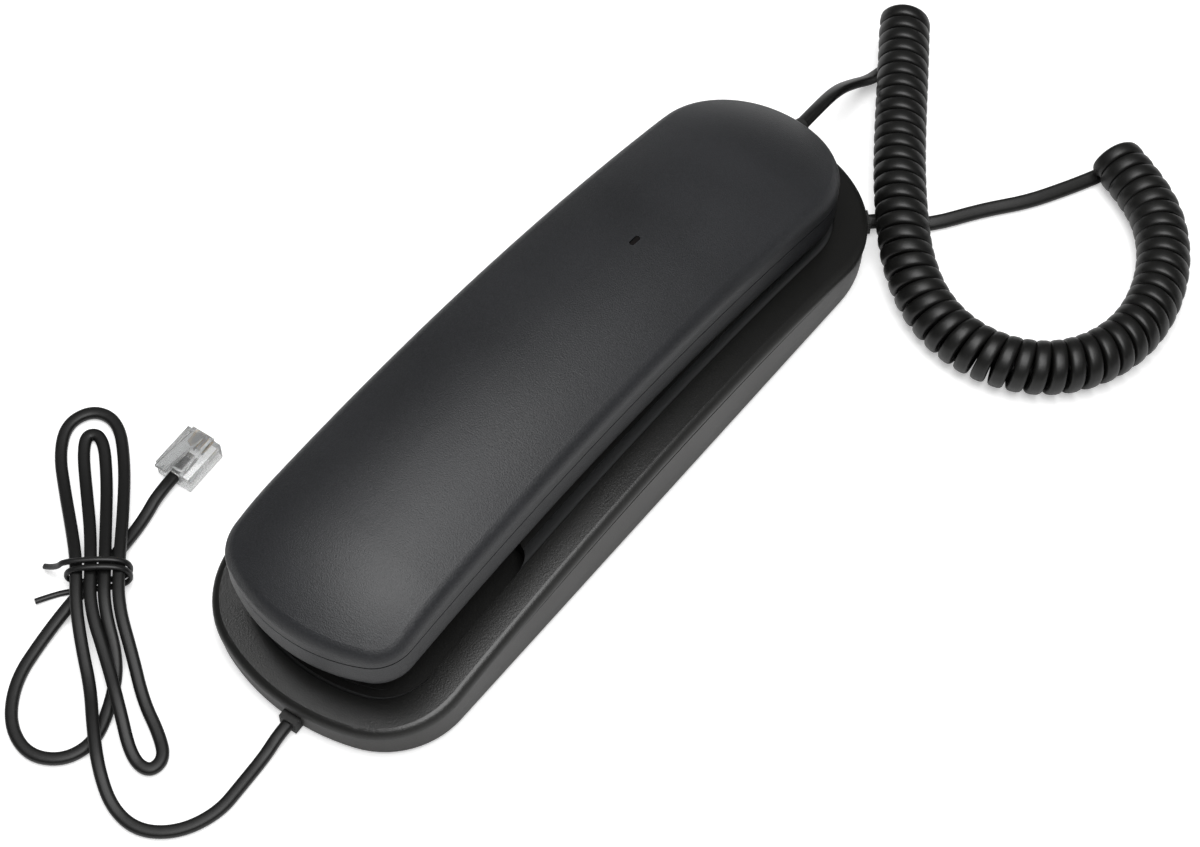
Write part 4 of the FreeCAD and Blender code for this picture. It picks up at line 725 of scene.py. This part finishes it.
def white_paper():
    """Matt white paper that fades to pure white away from the phone, and is clear from below."""
    material, tree, shader, place = start_material("white_paper_sweep")
    shader.inputs["Base Color"].default_value = linear("#f3f3f3")
    shader.inputs["Roughness"].default_value = 0.9
    ray = add_node(tree, "ShaderNodeLightPath").outputs
    away = add_node(tree, "ShaderNodeVectorMath", links={0: place}, operation="LENGTH")
    fade = add_node(tree, "ShaderNodeMapRange",
                    {"From Min": FLOOR_WHITE_FROM, "From Max": FLOOR_WHITE_FULL,
                     "To Min": FLOOR_WHITE_NEAR, "To Max": 1.0},
                    {"Value": away.outputs["Value"]})
    seen = add_node(tree, "ShaderNodeMath", links={0: ray["Is Camera Ray"], 1: fade.outputs["Result"]},
                    operation="MULTIPLY")
    mirrored = add_node(tree, "ShaderNodeMath", {1: FLOOR_IN_GLOSS},
                        {0: ray["Is Glossy Ray"], 2: seen.outputs[0]}, operation="MULTIPLY_ADD")
    through = add_node(tree, "ShaderNodeMath", {1: FLOOR_THROUGH_PLUG},
                       {0: ray["Is Transmission Ray"], 2: mirrored.outputs[0]}, operation="MULTIPLY_ADD")
    glow = add_node(tree, "ShaderNodeEmission", links={"Strength": through.outputs[0]})
    both = add_node(tree, "ShaderNodeAddShader", links={0: shader.outputs[0], 1: glow.outputs[0]})
    below = add_node(tree, "ShaderNodeNewGeometry").outputs["Backfacing"]
    clear = add_node(tree, "ShaderNodeBsdfTransparent")
    sides = add_node(tree, "ShaderNodeMixShader", links={0: below, 1: both.outputs[0], 2: clear.outputs[0]})
    tree.links.new(sides.outputs[0], tree.nodes["Material Output"].inputs["Surface"])
    return material


def studio_world(scene, room_light):
    """Even light from all round, pure white to the camera."""
    world = bpy.data.worlds.new("soft_studio")
    scene.world = world
    world.use_nodes = True
    tree = world.node_tree
    ray = add_node(tree, "ShaderNodeLightPath").outputs
    strength = add_node(tree, "ShaderNodeMapRange", {"To Min": room_light, "To Max": 1.0},
                        {"Value": ray["Is Camera Ray"]})
    background = tree.nodes["Background"]
    background.inputs["Color"].default_value = linear("#ffffff")
    tree.links.new(strength.outputs["Result"], background.inputs["Strength"])


def soft_lamp(name, place, size, power):
    """An area lamp that faces the middle of the floor."""
    lamp = bpy.data.lights.new(name, "AREA")
    lamp.shape = "RECTANGLE"
    lamp.size = size[0]
    lamp.size_y = size[1]
    lamp.energy = power
    obj = bpy.data.objects.new(name, lamp)
    bpy.context.collection.objects.link(obj)
    obj.location = place
    obj.rotation_euler = (-Vector(place)).to_track_quat("-Z", "Y").to_euler()


def photo_camera(scene, stage):
    """The camera at the photograph's angle."""
    data = bpy.data.cameras.new("photo_camera")
    data.sensor_width = SENSOR_WIDTH
    data.sensor_fit = "HORIZONTAL"
    data.lens = stage.lens
    data.clip_start = CAMERA_NEAREST
    camera = bpy.data.objects.new("photo_camera", data)
    bpy.context.collection.objects.link(camera)
    a, e = stage.azimuth, stage.elevation
    back = Vector((math.sin(a) * math.cos(e), -math.cos(a) * math.cos(e), math.sin(e)))
    camera.location = Vector(CAMERA_TARGET) + back * stage.distance
    camera.rotation_euler = (-back).to_track_quat("-Z", "Y").to_euler()
    scene.camera = camera


class PHONE_OT_stage(bpy.types.Operator):
    """Floor, light and camera"""
    bl_idname = "phone.stage"
    bl_label = "Stage"

    def execute(self, context):
        scene = context.scene
        stage = scene.phone_stage
        deselect()
        bpy.ops.mesh.primitive_plane_add(size=FLOOR_SIZE, location=(0, 0, 0))
        floor = context.active_object
        floor.name = "floor"
        floor.data.materials.append(white_paper())
        studio_world(scene, stage.room_light)
        soft_lamp("overhead", OVERHEAD_PLACE, OVERHEAD_SIZE, stage.overhead_power)
        soft_lamp("camera_fill", FILL_PLACE, FILL_SIZE, stage.fill_power)
        photo_camera(scene, stage)
        scene.view_settings.view_transform = "Standard"
        return {"FINISHED"}


class PHONE_PT_panel(bpy.types.Panel):
    """Phone tools in the sidebar"""
    bl_idname = "PHONE_PT_panel"
    bl_label = "Corded Landline Phone"
    bl_space_type = "VIEW_3D"
    bl_region_type = "UI"
    bl_category = "Phone"

    def draw(self, context):
        for name in ("finishes", "coil_cord", "twist_tie", "line_plug", "line_cord", "key_legends", "stage"):
            self.layout.operator("phone." + name)


CLASSES = (
    PhoneCordSizes, PhoneColours, PhoneStageSizes, PHONE_OT_finishes, PHONE_OT_coil_cord, PHONE_OT_twist_tie,
    PHONE_OT_line_plug, PHONE_OT_line_cord, PHONE_OT_key_legends, PHONE_OT_stage, PHONE_PT_panel,
)


def register():
    for one in CLASSES:
        bpy.utils.register_class(one)
    bpy.types.Scene.phone_cords = bpy.props.PointerProperty(type=PhoneCordSizes)
    bpy.types.Scene.phone_colours = bpy.props.PointerProperty(type=PhoneColours)
    bpy.types.Scene.phone_stage = bpy.props.PointerProperty(type=PhoneStageSizes)


def unregister():
    del bpy.types.Scene.phone_stage
    del bpy.types.Scene.phone_colours
    del bpy.types.Scene.phone_cords
    for one in reversed(CLASSES):
        bpy.utils.unregister_class(one)


def main():
    register()
    bpy.ops.phone.finishes()
    bpy.ops.phone.coil_cord()
    bpy.ops.phone.twist_tie()
    bpy.ops.phone.line_plug()
    bpy.ops.phone.line_cord()
    bpy.ops.phone.key_legends()
    bpy.ops.phone.stage()


if __name__ == "__main__":
    main()
